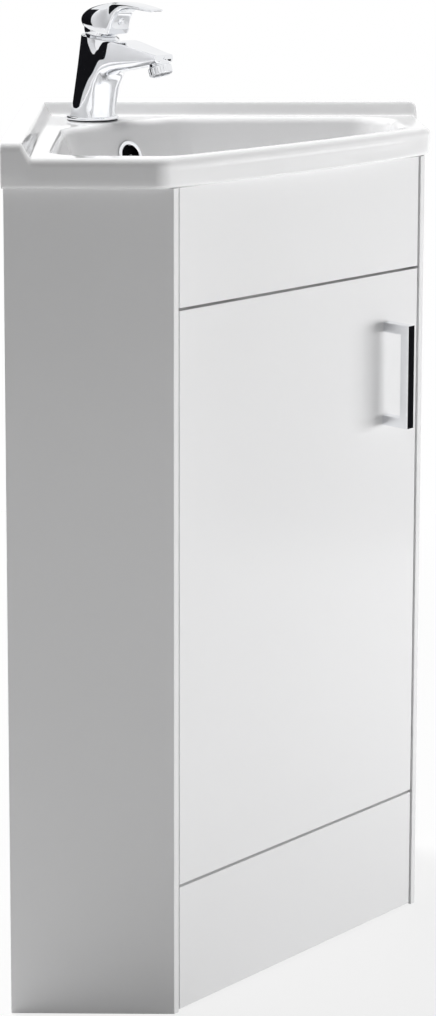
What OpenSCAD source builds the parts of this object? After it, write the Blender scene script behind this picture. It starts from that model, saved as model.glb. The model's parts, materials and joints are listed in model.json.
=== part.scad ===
// Corner vanity unit for a right-angled wall corner: board cabinet with one inset door,
// ceramic basin with two wall upstands, push-plug waste and single-lever mixer tap.
// Everything is drawn from the wall corner (walls at x = 0 and y = 0, room towards +x and -y),
// then moved so that the origin lies on the floor under the middle of the unit.

/* [Cabinet] */
// Height of the cabinet under the basin
cabinet_h = 800; // [760:1:860]
// Width of the diagonal front over both side panels
front_w = 361; // [350:1:380]
// Reach of each side panel out of its wall
side_w = 158; // [150:1:170]
// How much further out a side panel stands at its front than at its wall
side_splay = 4; // [0:0.5:8]
// Thickness of all boards
board_t = 16; // [15:0.5:18]
// Clearance between the boards and the walls
wall_gap = 1.5; // [0.5:0.5:3]
// Width of the flat front land of a side panel
land_w = 6.4; // [5:0.1:8]

/* [Fronts] */
// Height of the plinth board's top edge
plinth_top = 125; // [110:1:140]
// Height of the plinth board's bottom edge
plinth_lift = 2; // [0:0.5:6]
// Height of the fascia over the door
fascia_h = 112.5; // [108:0.5:120]
// Joint between two fronts, one above the other
front_gap = 2.5; // [2:0.1:4]
// Joint between a front and the land beside it
side_gap = 2; // [1.8:0.1:3]
// How far the fronts lie behind the lands
front_recess = 1; // [0:0.1:2]

/* [Inside] */
// Height of a back rail
rail_h = 100; // [80:1:120]
// Depth of the stretcher behind the fascia
stretcher_w = 60; // [50:1:64]
// How far the base panel and the stretcher overlap the door's edges
door_lap = 14; // [10:1:18]
// Thickness of a door buffer
buffer_t = 1.5; // [1:0.5:3]
// Distance between the two wall screws of a back rail
wall_screw_cc = 96; // [64:1:110]

/* [Handle] */
// Distance between the handle's screws
handle_cc = 96; // [64:32:128]
// Width and thickness of the handle's square bar
handle_bar = 10; // [8:0.5:12]
// Reach of the handle from the door
handle_reach = 33; // [25:1:40]
// Distance from the door's top edge down to the handle's middle
handle_drop = 102; // [70:1:280]
// Distance from the handle's middle line to the door's free edge
handle_inset = 48; // [30:1:60]

/* [Hinges] */
// Distance of each hinge from the door's nearer end
hinge_inset = 90; // [70:1:120]
// Diameter of the hinge cup
cup_d = 35; // [35:35]
// Distance from the door's edge to the cup's rim
cup_edge = 5; // [4:0.5:6]
// Depth of the cup in the door
cup_depth = 13; // [12.5:0.1:13.5]
// Diameter of the pivot pin
pin_d = 3; // [2.5:0.1:3.2]
// Height of the mounting plate
plate_t = 5; // [4:0.5:6]

/* [Basin] */
// Length of the basin along each wall
basin_leg = 423; // [420:1:430]
// How much further out each side stands at the front corner
basin_splay = 4; // [0:0.5:8]
// Distance from the wall corner to the middle of the bowed front edge
basin_front = 422; // [418:1:428]
// Radius of the bowed front edge
basin_bow_r = 1100; // [800:10:2000]
// Radius of the basin's front corners in plan
basin_corner_r = 38; // [30:1:45]
// Thickness of the basin's edge, from the cabinet to the deck
basin_edge = 28; // [24:1:34]
// Height of the wall upstands over the deck
upstand_h = 14; // [8:1:24]
// Width of the level top of an upstand
upstand_top = 16; // [12:1:20]
// Width of the curved slope from an upstand down to the deck
upstand_slope = 12; // [8:1:16]
// Distance from the basin's side face to the end of an upstand
upstand_end = 0.5; // [0.2:0.1:6]
// Thickness of the deck round the tap
deck_t = 14; // [12:1:18]
// Thickness of the bowl's wall
bowl_wall = 9; // [8:0.5:10]
// Depth of the bowl under the deck
bowl_depth = 112; // [104:1:116]
// Width of the rim between the bowl and the basin's free edges
rim_w = 31; // [30:1:36]
// Distance from each wall to the bowl
bowl_wall_gap = 37; // [34:1:42]
// Distance from the wall corner to the bowl behind the tap's base
bowl_back = 138; // [135:1:145]

/* [Waste and overflow] */
// Diameter of the waste's thread
waste_thread_d = 41.9; // [41.9:41.9]
// Bore of the waste
waste_bore_d = 35; // [33:0.5:36]
// Diameter of the waste's flange
waste_flange_d = 63; // [60:0.5:66]
// Height of the ceramic round the drain hole
drain_boss_h = 40; // [34:1:46]
// Diameter of the overflow hole
overflow_d = 20; // [16:0.5:22]
// Travel of the plug from shut to open
plug_lift = 7; // [5:0.5:9]

/* [Tap] */
// Diameter of the tap hole in the deck
tap_hole_d = 35; // [35:0.5:36]
// Distance from each wall to the tap's middle
tap_wall = 72; // [70:0.5:74]
// Diameter of the tap's base ring
tap_base_d = 55; // [53:0.5:56]
// Height of the body's top rim over the deck
tap_body_h = 88; // [84:1:92]
// Lean of the tap's head towards the spout
tap_lean = 10; // [6:0.5:12]
// Reach of the spout to its end
spout_reach = 118; // [112:1:124]
// Outer radius of the lever's cap
cap_r = 22; // [21.5:0.1:23]
// Reach of the lever from the tap's middle
lever_reach = 98; // [92:1:104]
// Diameter of the cartridge
cartridge_d = 34.6; // [34:0.1:35]

/* [Hidden] */

$fn = 48;
eps = 0.01;
big = 900;
slip = 0.1;    // clearance round pins, screws and dowels
root2 = sqrt(2);

// Plan of the cabinet, measured along and across the diagonal front
cabinet_leg = side_w + front_w / root2;
front_d = (cabinet_leg + side_w) / root2;
front_y = -front_d + front_recess;
front_left = [-front_w / 2, -front_d];
wall_left = [(wall_gap - cabinet_leg + side_splay) / root2,
             (-wall_gap - cabinet_leg + side_splay) / root2];
side_vec = wall_left - front_left;
side_len = norm(side_vec);
side_dir = side_vec / side_len;
side_ang = atan2(side_dir.y, side_dir.x);
side_in = [side_dir.y, -side_dir.x];

// Fronts
fronts_w = front_w - 2 * (land_w + side_gap);
door_x = -fronts_w / 2;
door_z = plinth_top + front_gap;
fascia_z = cabinet_h - fascia_h;
door_h = fascia_z - front_gap - door_z;
inner_y = front_y + board_t + buffer_t + slip;
rebate_d = front_recess + board_t + 1;

// Inside boards
base_z = door_z + door_lap - board_t;
stretcher_z = door_z + door_h - door_lap;
rail_z = cabinet_h - rail_h;
wall_screw_r = 2.75;

// Fittings for the boards
cam_r = 7.5;
cam_depth = 12.5;
cam_reach = 34;
cam_bolt_r = 3.4;
cam_neck_r = 2;
cam_thread_r = 2.5;
cam_thread_len = 10;
cam_head_h = 4;
pilot_h = 12;
dowel_r = 4;
dowel_len = 30;
base_cams = [48, 112];
base_dowel = 80;
stretcher_cam = 84;
stretcher_dowel = 52;
rail_side = side_len - board_t / 2 - slip;
wall_screw_y = cabinet_leg / 2;
rail_screw_len = 50;
rail_screw_r = 2.5;
rail_head_r = 4.8;
rail_screw_zs = [rail_z + rail_h * 0.25, rail_z + rail_h * 0.75];
rail_dowel_zs = [rail_z + rail_h * 0.2, rail_z + rail_h * 0.8];

// Angle brackets: where the back of a front board meets the inside of a side panel
bracket_s = (front_recess + board_t * (1 - side_in.y)) / side_dir.y;
bracket_corner = front_left + bracket_s * side_dir + board_t * side_in;
bracket_h = 30;
bracket_t = 1.6;
bracket_leg = 34;
bracket_hole = 23;
bracket_screw_len = 11.5;
bracket_screw_r = 1.5;
bracket_head_r = 3;
fascia_bracket_z = fascia_z + 60;
plinth_bracket_z = plinth_top - 60;

// Rear leg, on the middle line under the base panel
leg_d = 72;
leg_plate_r = 28;
leg_plate_t = 4;
leg_socket_h = 62;
leg_top_gap = 11;
leg_tube_r = 15;
leg_stem_r = 10;
leg_pad_r = 22;
leg_screw_pcr = 21;
leg_screw_len = 15;
leg_screw_r = 1.6;
leg_head_r = 3.2;
leg_rib_t = 2.5;

// Hinges, in the door's own corner: u along the door, w into the cabinet
hinge_zs = [door_z + hinge_inset, door_z + door_h - hinge_inset];
cup_u = cup_edge + cup_d / 2;
cup_floor = 0.7;
cup_wall = 1;
cup_slot = 14.4;
pin_w = board_t - cup_depth + cup_floor + pin_d / 2 + 1.3;
pin_u = pin_w + 9.5;
pin_len = 24;
arm_t = 2.5;
arm_w = 12;
arm_exit = 33;
arm_straight = 16;
arm_loop_r = 6.5;
arm_eye_r = pin_d / 2 + 1.1;
arm_end = [pin_u + arm_straight * cos(arm_exit), pin_w + arm_straight * sin(arm_exit)];
arm_loop = arm_end + arm_loop_r * [-sin(arm_exit), cos(arm_exit)];
arm_low = arm_loop.y + arm_loop_r;
arm_side = board_t + plate_t + arm_t / 2;
arm_bend = (arm_low + front_recess - arm_side * side_in.y) / side_dir.y;
arm_corner = front_left + arm_bend * side_dir + arm_side * side_in - [door_x, front_y];
arm_run = 46;
plate_s = arm_bend + 20;
plate_screw_cc = 32;
plate_screw_len = 12.5;
plate_screw_r = 2.5;
plate_head_r = 4.5;
plate_foot_w = 14;
plate_foot_t = 2;
arm_screws = [arm_bend + 12, arm_bend + 34];
arm_screw_r = 2;
arm_head_r = 3.6;
cup_screw_cc = 48;
cup_screw_u = cup_u + 5.5;
cup_screw_len = 11.5;
cup_screw_r = 1.7;
cup_head_r = 3.3;
// What the door's hinge edge sweeps behind the fronts, with a clearance
swing_r = norm([pin_u, board_t - pin_w]) + 1;
flange_t = 1.2;

// Handle
handle_x = -door_x - handle_inset;
handle_z = door_z + door_h - handle_drop;
handle_screw_r = 2;
handle_screw_in = 13;

// Basin levels
basin_bow_y = basin_bow_r - basin_front;
deck_z = cabinet_h + basin_edge;
upstand_z = deck_z + upstand_h;
edge_bottom_r = 4;
edge_top_r = 7;
upstand_end_r = 9;
floor_z = deck_z - bowl_depth;
drain_d = 262;
drain_hole_r = waste_thread_d / 2 + 1.6;
flange_seat = 4.5;
drain_boss_r = 38;
side_slope = basin_splay / side_w;
foot_w = 30;
foot_wall = 22;
bowl_corner_r = 42;
bowl_draft = 40;
bowl_curve = 42;
bowl_steps = [0, 0.45, 0.66, 0.82, 0.93, 1];
// Round of the bowl's rim: depth under the deck, distance from the rim's edge
rim_round = [[0, 0], [3.5, 5], [11, 8]];
basin_reach = basin_leg + 0.825 * basin_splay;

// How far the bowl's wall has come in at a share t of its depth
function bowl_in(t) = rim_round[2].y + bowl_draft * t + bowl_curve * (1 - sqrt(1 - pow(t, 4)));

// Overflow: its hole in the wall behind the tap, and the duct down to the drain
overflow_drop = 31;
overflow_back = bowl_back + bowl_in(overflow_drop / bowl_depth);
overflow_tilt = atan(bowl_draft / bowl_depth);
duct_w = 16;
duct_wall = 5;
// Side view of the duct: distance from the wall corner, height
duct_form = [[overflow_back - 26, deck_z - overflow_drop + 7],
             [overflow_back - 9, deck_z - overflow_drop + 7], [overflow_back + 8, floor_z + 14],
             [drain_d - 20, floor_z - 17], [drain_d - 20, floor_z - 30],
             [overflow_back - 8, floor_z + 4]];

// Waste and plug, down from the bowl's floor
waste_r = waste_thread_d / 2;
bore_r = waste_bore_d / 2;
flange_r = waste_flange_d / 2;
flange_h = 3;
waste_len = 76;
washer_h = 6;
washer_r = 33;
backnut_h = 8;
backnut_r = 28;
tail_top = drain_boss_h + washer_h + backnut_h + 1;
tail_r = waste_r - 0.25;
hub_z = 34;
hub_r = 6;
hub_h = 4;
spoke_t = 3;
plug_r = 20;
plug_seat = 1.5;
stem_r = 4;
stem_tip_r = 2.5;
socket_r = 6.5;
socket_screw_r = 3;
socket_h = 20;
socket_floor = 2;
spring_h = plug_lift + 1;
spring_turns = 4;
spring_wire_r = 0.4;
spring_r = 2.9;

// Tap: base, inlets, stud, spout and aerator
base_ring_h = 4.5;
seal_h = 1.2;
base_body_r = 25;
body_lean = 8.5;
body_len = tap_body_h / cos(body_lean);
body_waist = 0.8;
spigot_h = 4;
inlet_x = -3;
inlet_y = 8.5;
inlet_r = 4.5;
inlet_len = 14;
stud_x = 9;
stud_r = 4;
stud_in = 14;
stud_out = 60;
stud_rubber_t = 3;
stud_washer_t = 2;
stud_plate_r = 25;
stud_nut_h = 9;
stud_nut_r = 7.5;
water_r = 3;
// Share of the reach, drop of the top below the rim, height, half width
spout_form = [[0.02, 8, 34, 18.5], [0.19, 6, 36, 19], [0.32, 5, 34, 17.5],
              [0.47, 6, 29.5, 15.5], [0.66, 8.5, 23.5, 14], [0.85, 10.5, 16.5, 13.5],
              [0.97, 11.5, 12, 13.2], [1, 12.5, 9.5, 12]];
aerator_x = spout_reach * 0.85;
aerator_z = tap_body_h - 26.5;
aerator_tilt = 20;
aerator_r = 12.2;
aerator_thread_r = 11;
aerator_h = 9;
aerator_up = 6;
insert_r = 9.5;
insert_hole_r = 1.6;

// Tap head: rim centre, and the ball centre that the lever tips about
rim_x = tap_body_h * tan(body_lean);
ball_h = 10;
rim_r = cap_r - 1;
ball_r = cap_r - 3.2;
cartridge_floor = -30;
cartridge_r = cartridge_d / 2;
nut_h = 6.9;
nut_bore_r = 13.2;
nut_slot = 3;
neck_wall = 1.5;
carrier_r = 7;
carrier_foot_r = 11;
axle_r = 1.5;
axle_len = 12.6;
carrier_top = ball_h + 2.8;
boss_low = ball_h + 5;
stem_x = 8;
stem_y = 6;
cap_t = 2.6;
cap_cut = 12;
boss_r = 7.5;
grub_r = 2;
indicator_r = 3.5;
plug_axis_z = ball_h + 8;
// Share of the reach, height of the middle over the body's rim, half height, half width
lever_form = [[0.1, 20, 11, 17], [0.28, 24.5, 11.5, 17], [0.45, 29.5, 7, 14.5], [0.59, 32.2, 3.8, 12],
              [0.76, 31.8, 2.6, 10.5], [0.92, 30.8, 2.2, 9.5], [1, 30.2, 1.6, 7.5]];

// ---- Helpers -------------------------------------------------------------

// Moves the wall-corner frame so that the origin is under the unit's middle
module in_room() translate([-basin_reach / 2, basin_reach / 2, 0]) children();

// x along the diagonal front, -y out into the room
module on_diagonal() in_room() rotate(45) children();

// The left half's frame and its mirror image
module left_half() on_diagonal() children();
module right_half() on_diagonal() mirror([1, 0, 0]) children();
module both_halves() { left_half() children(); right_half() children(); }

// x along a side panel towards its wall, -y towards the inside, from the front edge
module on_side() translate(front_left) rotate(side_ang) children();

// x along the door from its hinge edge, y into the cabinet, from the door's face
module on_door() on_diagonal() translate([door_x, front_y, 0]) children();

// x towards the spout, from the middle of the tap hole at deck level
module on_tap() in_room() translate([tap_wall, -tap_wall, deck_z]) rotate(-45) children();

// The tap's leaning head, from the middle of the body's rim
module on_head() on_tap() translate([rim_x, 0, tap_body_h]) rotate([0, tap_lean, 0]) children();

// The spout's outlet, z up into the spout
module on_aerator() on_tap() translate([aerator_x, 0, aerator_z]) rotate([0, -aerator_tilt, 0])
    children();

// Middle of the drain at the level of the bowl's floor
module on_drain() on_diagonal() translate([0, -drain_d, floor_z]) children();

// Straight round rod between two points
module rod(a, b, r) {
    v = b - a;
    translate(a) rotate([0, acos(v.z / norm(v)), atan2(v.y, v.x)]) cylinder(h = norm(v), r = r);
}

// Ring of revolution with a rectangular section
module ring(r_out, r_in, h) difference() {
    cylinder(h = h, r = r_out);
    translate([0, 0, -eps]) cylinder(h = h + 2 * eps, r = r_in);
}

// Countersunk screw along -z, its head's top at z = 0
module screw(len, r, head_r) {
    rotate_extrude() polygon([[0, -len], [r * 0.4, -len], [r, -len + r], [r, -head_r + r],
                              [head_r, 0], [0, 0]]);
}

// One flat ring of points; e = 2 is an ellipse, more is squarer
function power(v, e) = sign(v) * pow(abs(v), 2 / e);
function ring_yz(x, z, b, h, e, n) = [for (i = [0:n - 1]) let (t = 360 * i / n)
    [x, b * power(cos(t), e), z + h * power(sin(t), e)]];
function between(a, b, t) = a + (b - a) * t;
function ease(t) = (1 - cos(180 * t)) / 2;

// Closed skin over equal rings of points
module loft(rings) {
    n = len(rings[0]);
    m = len(rings);
    polyhedron(points = [for (r = rings) each r], faces = concat(
        [[for (i = [0:n - 1]) i]],
        [[for (i = [n - 1:-1:0]) (m - 1) * n + i]],
        [for (k = [0:m - 2], i = [0:n - 1]) let (j = (i + 1) % n)
            [k * n + i, (k + 1) * n + i, (k + 1) * n + j, k * n + j]]));
}

// ---- Cabinet boards ------------------------------------------------------

module wall_quadrant(gap) translate([gap, -gap - big]) square(big);

module side_section() difference() {
    on_side() translate([-big / 10, -board_t]) square([side_len + big / 5, board_t]);
    translate([-big, front_left.y - big]) square([2 * big, big]);
    translate([front_left.x + land_w, front_left.y - eps]) square([big / 10, rebate_d]);
    rotate(-45) difference() { square(2 * big, center = true); wall_quadrant(wall_gap); }
}

// Plan of the space between the side panels, behind a line parallel to the front
module inside_section(y0) intersection() {
    rotate(-45) wall_quadrant(wall_gap);
    translate([-big, y0]) square([2 * big, big]);
    on_side() translate([-big / 2, -board_t - big]) square(big);
    mirror([1, 0]) on_side() translate([-big / 2, -board_t - big]) square(big);
}

// Holes for one cam bolt and its cam, from the joint face; the board lies along -y
module cam_hole() {
    rotate([90, 0, 0]) cylinder(h = cam_reach, r = cam_bolt_r + slip);
}
module dowel_hole() {
    rotate([90, 0, 0]) translate([0, 0, -dowel_len / 2 + 4])
        cylinder(h = dowel_len + 1, r = dowel_r + slip);
}

// Places of the joints between a side panel and the inner boards: along the panel, height
cam_spots = [for (s = base_cams) [s, base_z + board_t / 2], [stretcher_cam, stretcher_z + board_t / 2],
             [rail_side, rail_z + rail_h / 2]];
dowel_spots = [[base_dowel, base_z + board_t / 2], [stretcher_dowel, stretcher_z + board_t / 2],
               for (z = rail_dowel_zs) [rail_side, z]];
module at_spots(spots) for (p = spots) on_side() translate([p[0], -board_t, p[1]]) children();

module side_panel() difference() {
    linear_extrude(cabinet_h) side_section();
    at_spots(cam_spots) rotate([-90, 0, 0]) translate([0, 0, -eps])
        cylinder(h = cam_thread_len + 1, r = cam_thread_r + slip);
    at_spots(dowel_spots) dowel_hole();
    for (z = hinge_zs, k = [-1, 1]) on_side() translate([plate_s, -board_t, z + k * plate_screw_cc / 2])
        rotate([-90, 0, 0]) translate([0, 0, -eps]) cylinder(h = pilot_h, r = plate_screw_r + slip);
    for (z = [fascia_bracket_z, plinth_bracket_z]) on_side()
        translate([bracket_s + bracket_hole, -board_t, z]) rotate([-90, 0, 0]) translate([0, 0, -eps])
            cylinder(h = pilot_h, r = bracket_screw_r + slip);
}

module side_panel_left() color("whitesmoke") left_half() side_panel();
module side_panel_right() color("whitesmoke") right_half() side_panel();

// Corner notch of the boards behind the door, where its hinge edge swings in
module swing_notch() translate([door_x - board_t, inner_y - eps])
    square([board_t + pin_u + swing_r, front_y + pin_w + swing_r - inner_y]);

module base_panel() color("white") difference() {
    on_diagonal() translate([0, 0, base_z]) linear_extrude(board_t) difference() {
        inside_section(inner_y);
        swing_notch();
    }
    both_halves() {
        for (s = base_cams) on_side() translate([s, -board_t, base_z + board_t / 2]) {
            cam_hole();
            translate([0, -cam_reach, -board_t / 2 - eps]) cylinder(h = cam_depth, r = cam_r + slip);
        }
        on_side() translate([base_dowel, -board_t, base_z + board_t / 2]) dowel_hole();
    }
    leg_screw_spots() translate([0, 0, base_z - eps]) cylinder(h = pilot_h, r = leg_screw_r + slip);
}

module front_board(z, h) on_diagonal() translate([door_x, front_y, z]) cube([fronts_w, board_t, h]);

module bracket_pilots(z) for (m = [0, 1]) on_diagonal() mirror([m, 0, 0])
    translate([bracket_corner.x + bracket_hole, bracket_corner.y - pilot_h, z]) rotate([-90, 0, 0])
        cylinder(h = pilot_h + eps, r = bracket_screw_r + slip);

module plinth() color("white") difference() {
    front_board(plinth_lift, plinth_top - plinth_lift);
    bracket_pilots(plinth_bracket_z);
}
module fascia() color("white") difference() {
    front_board(fascia_z, cabinet_h - fascia_z);
    bracket_pilots(fascia_bracket_z);
}

module front_stretcher() color("white") on_diagonal() difference() {
    translate([0, 0, stretcher_z]) linear_extrude(board_t) difference() {
        inside_section(inner_y);
        translate([-big, inner_y + stretcher_w]) square([2 * big, big]);
        swing_notch();
    }
    for (m = [0, 1]) mirror([m, 0, 0]) {
        on_side() translate([stretcher_cam, -board_t, stretcher_z + board_t / 2]) {
            cam_hole();
            translate([0, -cam_reach, -board_t / 2 - eps]) cylinder(h = cam_depth, r = cam_r + slip);
        }
        on_side() translate([stretcher_dowel, -board_t, stretcher_z + board_t / 2]) dowel_hole();
    }
}

// Left rail, along the wall x = 0; the other rail butts against its end
module rail_section(x0, x1) intersection() {
    rotate(45) inside_section(inner_y);
    translate([x0, -big]) square([x1 - x0, big]);
}
module rail_joint_holes() on_side() {
    translate([rail_side, -board_t, rail_z + rail_h / 2]) {
        cam_hole();
        translate([-board_t / 2 - 1, -cam_reach, 0]) rotate([0, 90, 0])
            cylinder(h = cam_depth + 1, r = cam_r + slip);
    }
    for (z = rail_dowel_zs) translate([rail_side, -board_t, z]) dowel_hole();
}
module rail_screw_spots() for (z = rail_screw_zs) in_room()
    translate([wall_gap, -wall_gap - board_t / 2, z]) rotate([0, -90, 0]) children();

module back_rail_left() color("gainsboro") difference() {
    in_room() translate([0, 0, rail_z]) linear_extrude(rail_h)
        rail_section(wall_gap, wall_gap + board_t);
    left_half() rail_joint_holes();
    in_room() for (k = [-1, 1])
        translate([0, -wall_screw_y + k * wall_screw_cc / 2, rail_z + rail_h / 2])
            rotate([0, 90, 0]) cylinder(h = big, r = wall_screw_r);
    rail_screw_spots() translate([0, 0, eps])
        screw(rail_screw_len + slip, rail_screw_r + slip, rail_head_r + 2 * slip);
}
module back_rail_right() color("gainsboro") difference() {
    in_room() translate([0, 0, rail_z]) mirror([1, 1, 0]) linear_extrude(rail_h) difference() {
        rail_section(wall_gap, wall_gap + board_t);
        translate([0, -wall_gap - board_t]) square(big);
    }
    right_half() rail_joint_holes();
    in_room() for (k = [-1, 1])
        translate([wall_screw_y + k * wall_screw_cc / 2, 0, rail_z + rail_h / 2])
            rotate([90, 0, 0]) cylinder(h = big, r = wall_screw_r);
    rail_screw_spots() screw(rail_screw_len + slip, rail_screw_r + slip, rail_head_r + 2 * slip);
}

// ---- Board fittings ------------------------------------------------------

module cam_bolt() {
    rotate([-90, 0, 0]) cylinder(h = cam_thread_len, r = cam_thread_r);
    rotate([90, 0, 0]) cylinder(h = cam_reach - 2 * cam_head_h, r = cam_bolt_r);
    translate([0, -cam_reach + 2 * cam_head_h + eps, 0]) rotate([90, 0, 0])
        cylinder(h = cam_head_h, r = cam_neck_r);
    translate([0, -cam_reach + cam_head_h + eps, 0]) rotate([90, 0, 0])
        cylinder(h = cam_head_h - 1, r = cam_bolt_r);
}
module cam_bolts() color("silver") both_halves() at_spots(cam_spots) cam_bolt();

// Cam with its driver slot and the curved claw that pulls the bolt's head in
module cam_lock(h) difference() {
    cylinder(h = h, r = cam_r);
    translate([0, 0, -eps]) rotate(30) translate([-5, -0.8, 0]) cube([10, 1.6, 2]);
    translate([0, 0, board_t / 2 - cam_bolt_r - slip]) cylinder(h = 2 * (cam_bolt_r + slip), r = 5);
    translate([0, 0, board_t / 2]) rotate([-90, 0, 0]) cylinder(h = cam_r + 1, r = cam_bolt_r + slip);
}
module cam_locks() color("gray") both_halves() {
    for (p = cam_spots) if (p[1] < rail_z) on_side()
        translate([p[0], -board_t - cam_reach, p[1] - board_t / 2]) cam_lock(cam_depth - slip);
    on_side() translate([rail_side - board_t / 2, -board_t - cam_reach, rail_z + rail_h / 2])
        rotate([0, 90, 0]) cam_lock(cam_depth - slip);
}

module wood_dowels() color("burlywood") both_halves() at_spots(dowel_spots)
    translate([0, dowel_len / 2 - 4.5, 0]) rotate([90, 0, 0]) cylinder(h = dowel_len, r = dowel_r);

module rail_screws() color("silver") rail_screw_spots() screw(rail_screw_len, rail_screw_r, rail_head_r);

// Steel angle bracket bent to the corner between a front board and a side panel
module bracket_section() {
    translate(bracket_corner) square([bracket_leg, bracket_t]);
    on_side() translate([bracket_s, -board_t - bracket_t]) square([bracket_leg, bracket_t]);
}
module bracket_screw_spots(z) {
    translate([bracket_corner.x + bracket_hole, bracket_corner.y + bracket_t, z]) rotate([-90, 0, 0])
        children();
    on_side() translate([bracket_s + bracket_hole, -board_t - bracket_t, z]) rotate([90, 0, 0])
        children();
}
module brackets(z) both_halves() difference() {
    translate([0, 0, z - bracket_h / 2]) linear_extrude(bracket_h) bracket_section();
    bracket_screw_spots(z) translate([0, 0, eps])
        screw(bracket_screw_len, bracket_screw_r + slip, bracket_head_r + slip);
}
module fascia_brackets() color("silver") brackets(fascia_bracket_z);
module plinth_brackets() color("silver") brackets(plinth_bracket_z);
module bracket_screws() color("silver") both_halves() for (z = [fascia_bracket_z, plinth_bracket_z])
    bracket_screw_spots(z) screw(bracket_screw_len, bracket_screw_r, bracket_head_r);

// ---- Rear leg ------------------------------------------------------------

module on_leg() on_diagonal() translate([0, -leg_d, 0]) children();
module leg_screw_spots() for (a = [45:90:315]) on_diagonal()
    translate([leg_screw_pcr * cos(a), leg_screw_pcr * sin(a) - leg_d, 0]) children();

module leg_socket() color("dimgray") difference() {
    on_leg() {
        translate([0, 0, base_z - leg_plate_t]) cylinder(h = leg_plate_t, r = leg_plate_r);
        translate([0, 0, base_z - leg_socket_h]) cylinder(h = leg_socket_h, r = leg_tube_r);
        for (a = [0:90:270]) rotate(a) translate([leg_tube_r - 1, -leg_rib_t / 2, base_z - 20])
            cube([9, leg_rib_t, 18]);
    }
    on_leg() translate([0, 0, base_z - leg_socket_h - eps])
        cylinder(h = leg_socket_h - leg_top_gap + 3, r = leg_stem_r + slip);
    leg_screw_spots() translate([0, 0, base_z - leg_plate_t - eps]) mirror([0, 0, 1])
        screw(leg_screw_len + 1, leg_screw_r + slip, leg_head_r + slip);
}
module leg_foot() color("dimgray") on_leg() rotate_extrude() polygon([
    [0, 0], [leg_pad_r - 1, 0], [leg_pad_r, 1], [leg_pad_r, 5], [leg_pad_r - 3, 8],
    [leg_stem_r, 12], [leg_stem_r, base_z - leg_top_gap - 1], [leg_stem_r - 1, base_z - leg_top_gap],
    [0, base_z - leg_top_gap]]);
module leg_screws() color("silver") leg_screw_spots() translate([0, 0, base_z - leg_plate_t])
    mirror([0, 0, 1]) screw(leg_screw_len, leg_screw_r, leg_head_r);

// ---- Door, handle and hinges ----------------------------------------------

module door_panel() color("white") on_door() difference() {
    translate([0, 0, door_z]) cube([fronts_w, board_t, door_h]);
    for (z = hinge_zs) {
        translate([cup_u, board_t + eps, z]) rotate([90, 0, 0])
            cylinder(h = cup_depth + slip, r = cup_d / 2 + slip);
        for (k = [-1, 1]) translate([cup_screw_u, board_t + flange_t + eps, z + k * cup_screw_cc / 2])
            rotate([-90, 0, 0]) screw(cup_screw_len + slip, cup_screw_r + slip, cup_head_r + slip);
    }
    for (k = [-1, 1]) translate([handle_x - door_x, -eps, handle_z + k * handle_cc / 2])
        rotate([-90, 0, 0]) cylinder(h = board_t + 2 * eps, r = handle_screw_r + 0.3);
}

module door_buffers() color("gainsboro") on_door() for (z = [door_z + 7, door_z + door_h - 7])
    translate([fronts_w - 30, board_t, z]) rotate([-90, 0, 0]) rotate_extrude() polygon([
        [0, 0], [4.5, 0], [4.5, buffer_t * 0.5], [3.5, buffer_t], [0, buffer_t]]);

// Square bar bent into a D, standing on the door
module handle() color("silver") on_door() translate([handle_x - door_x, 0, handle_z]) difference() {
    rotate([90, 0, 90]) translate([0, 0, -handle_bar / 2]) linear_extrude(handle_bar) difference() {
        translate([-handle_reach, -(handle_cc + handle_bar) / 2])
            square([handle_reach, handle_cc + handle_bar]);
        translate([handle_bar - handle_reach, -(handle_cc - handle_bar) / 2])
            square([handle_reach, handle_cc - handle_bar]);
    }
    for (k = [-1, 1]) translate([0, eps, k * handle_cc / 2]) rotate([90, 0, 0])
        cylinder(h = handle_screw_in + 3, r = handle_screw_r + slip);
}
module handle_screws() color("silver") on_door() for (k = [-1, 1])
    translate([handle_x - door_x, board_t, handle_z + k * handle_cc / 2]) rotate([90, 0, 0]) {
        cylinder(h = board_t + handle_screw_in, r = handle_screw_r);
        rotate_extrude() polygon([[0, 0], [4, 0], [4, -1.2], [2.4, -2.6], [0, -2.8]]);
    }

// Round cup with two cheeks that hold the pivot pin, and its screw flange
module hinge_cup() difference() {
    union() {
        translate([cup_u, board_t - cup_depth, 0]) rotate([-90, 0, 0])
            cylinder(h = cup_depth + flange_t, r = cup_d / 2);
        translate([cup_u, board_t, 0]) rotate([-90, 0, 0]) cylinder(h = flange_t, r = cup_d / 2 + 1.5);
        translate([cup_screw_u - 6, board_t, -cup_screw_cc / 2 - 5])
            cube([12, flange_t, cup_screw_cc + 10]);
    }
    intersection() {
        translate([cup_u, board_t - cup_depth + cup_floor, 0]) rotate([-90, 0, 0])
            cylinder(h = cup_depth + flange_t, r = cup_d / 2 - cup_wall);
        translate([0, 0, -cup_slot / 2]) cube([cup_d * 2, board_t + flange_t + 1, cup_slot]);
    }
    translate([pin_u, pin_w, -pin_len / 2 - slip]) cylinder(h = pin_len + 2 * slip, r = pin_d / 2 + 0.05);
    for (k = [-1, 1]) translate([cup_screw_u, board_t + flange_t + eps, k * cup_screw_cc / 2])
        rotate([-90, 0, 0]) screw(cup_screw_len + slip, cup_screw_r + slip, cup_head_r + slip);
}
module at_hinges() for (z = hinge_zs) on_door() translate([0, 0, z]) children();

module hinge_cups() color("silver") at_hinges() hinge_cup();
module hinge_pins() color("gray") at_hinges() translate([pin_u, pin_w, -pin_len / 2])
    cylinder(h = pin_len, r = pin_d / 2);
module hinge_cup_screws() color("silver") at_hinges() for (k = [-1, 1])
    translate([cup_screw_u, board_t + flange_t, k * cup_screw_cc / 2]) rotate([-90, 0, 0])
        screw(cup_screw_len, cup_screw_r, cup_head_r);

// Flat strip of the arm's thickness between two points of its middle line
module strip(a, b) translate(a) rotate(atan2(b.y - a.y, b.x - a.x)) translate([0, -arm_t / 2])
    square([norm(b - a), arm_t]);

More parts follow.
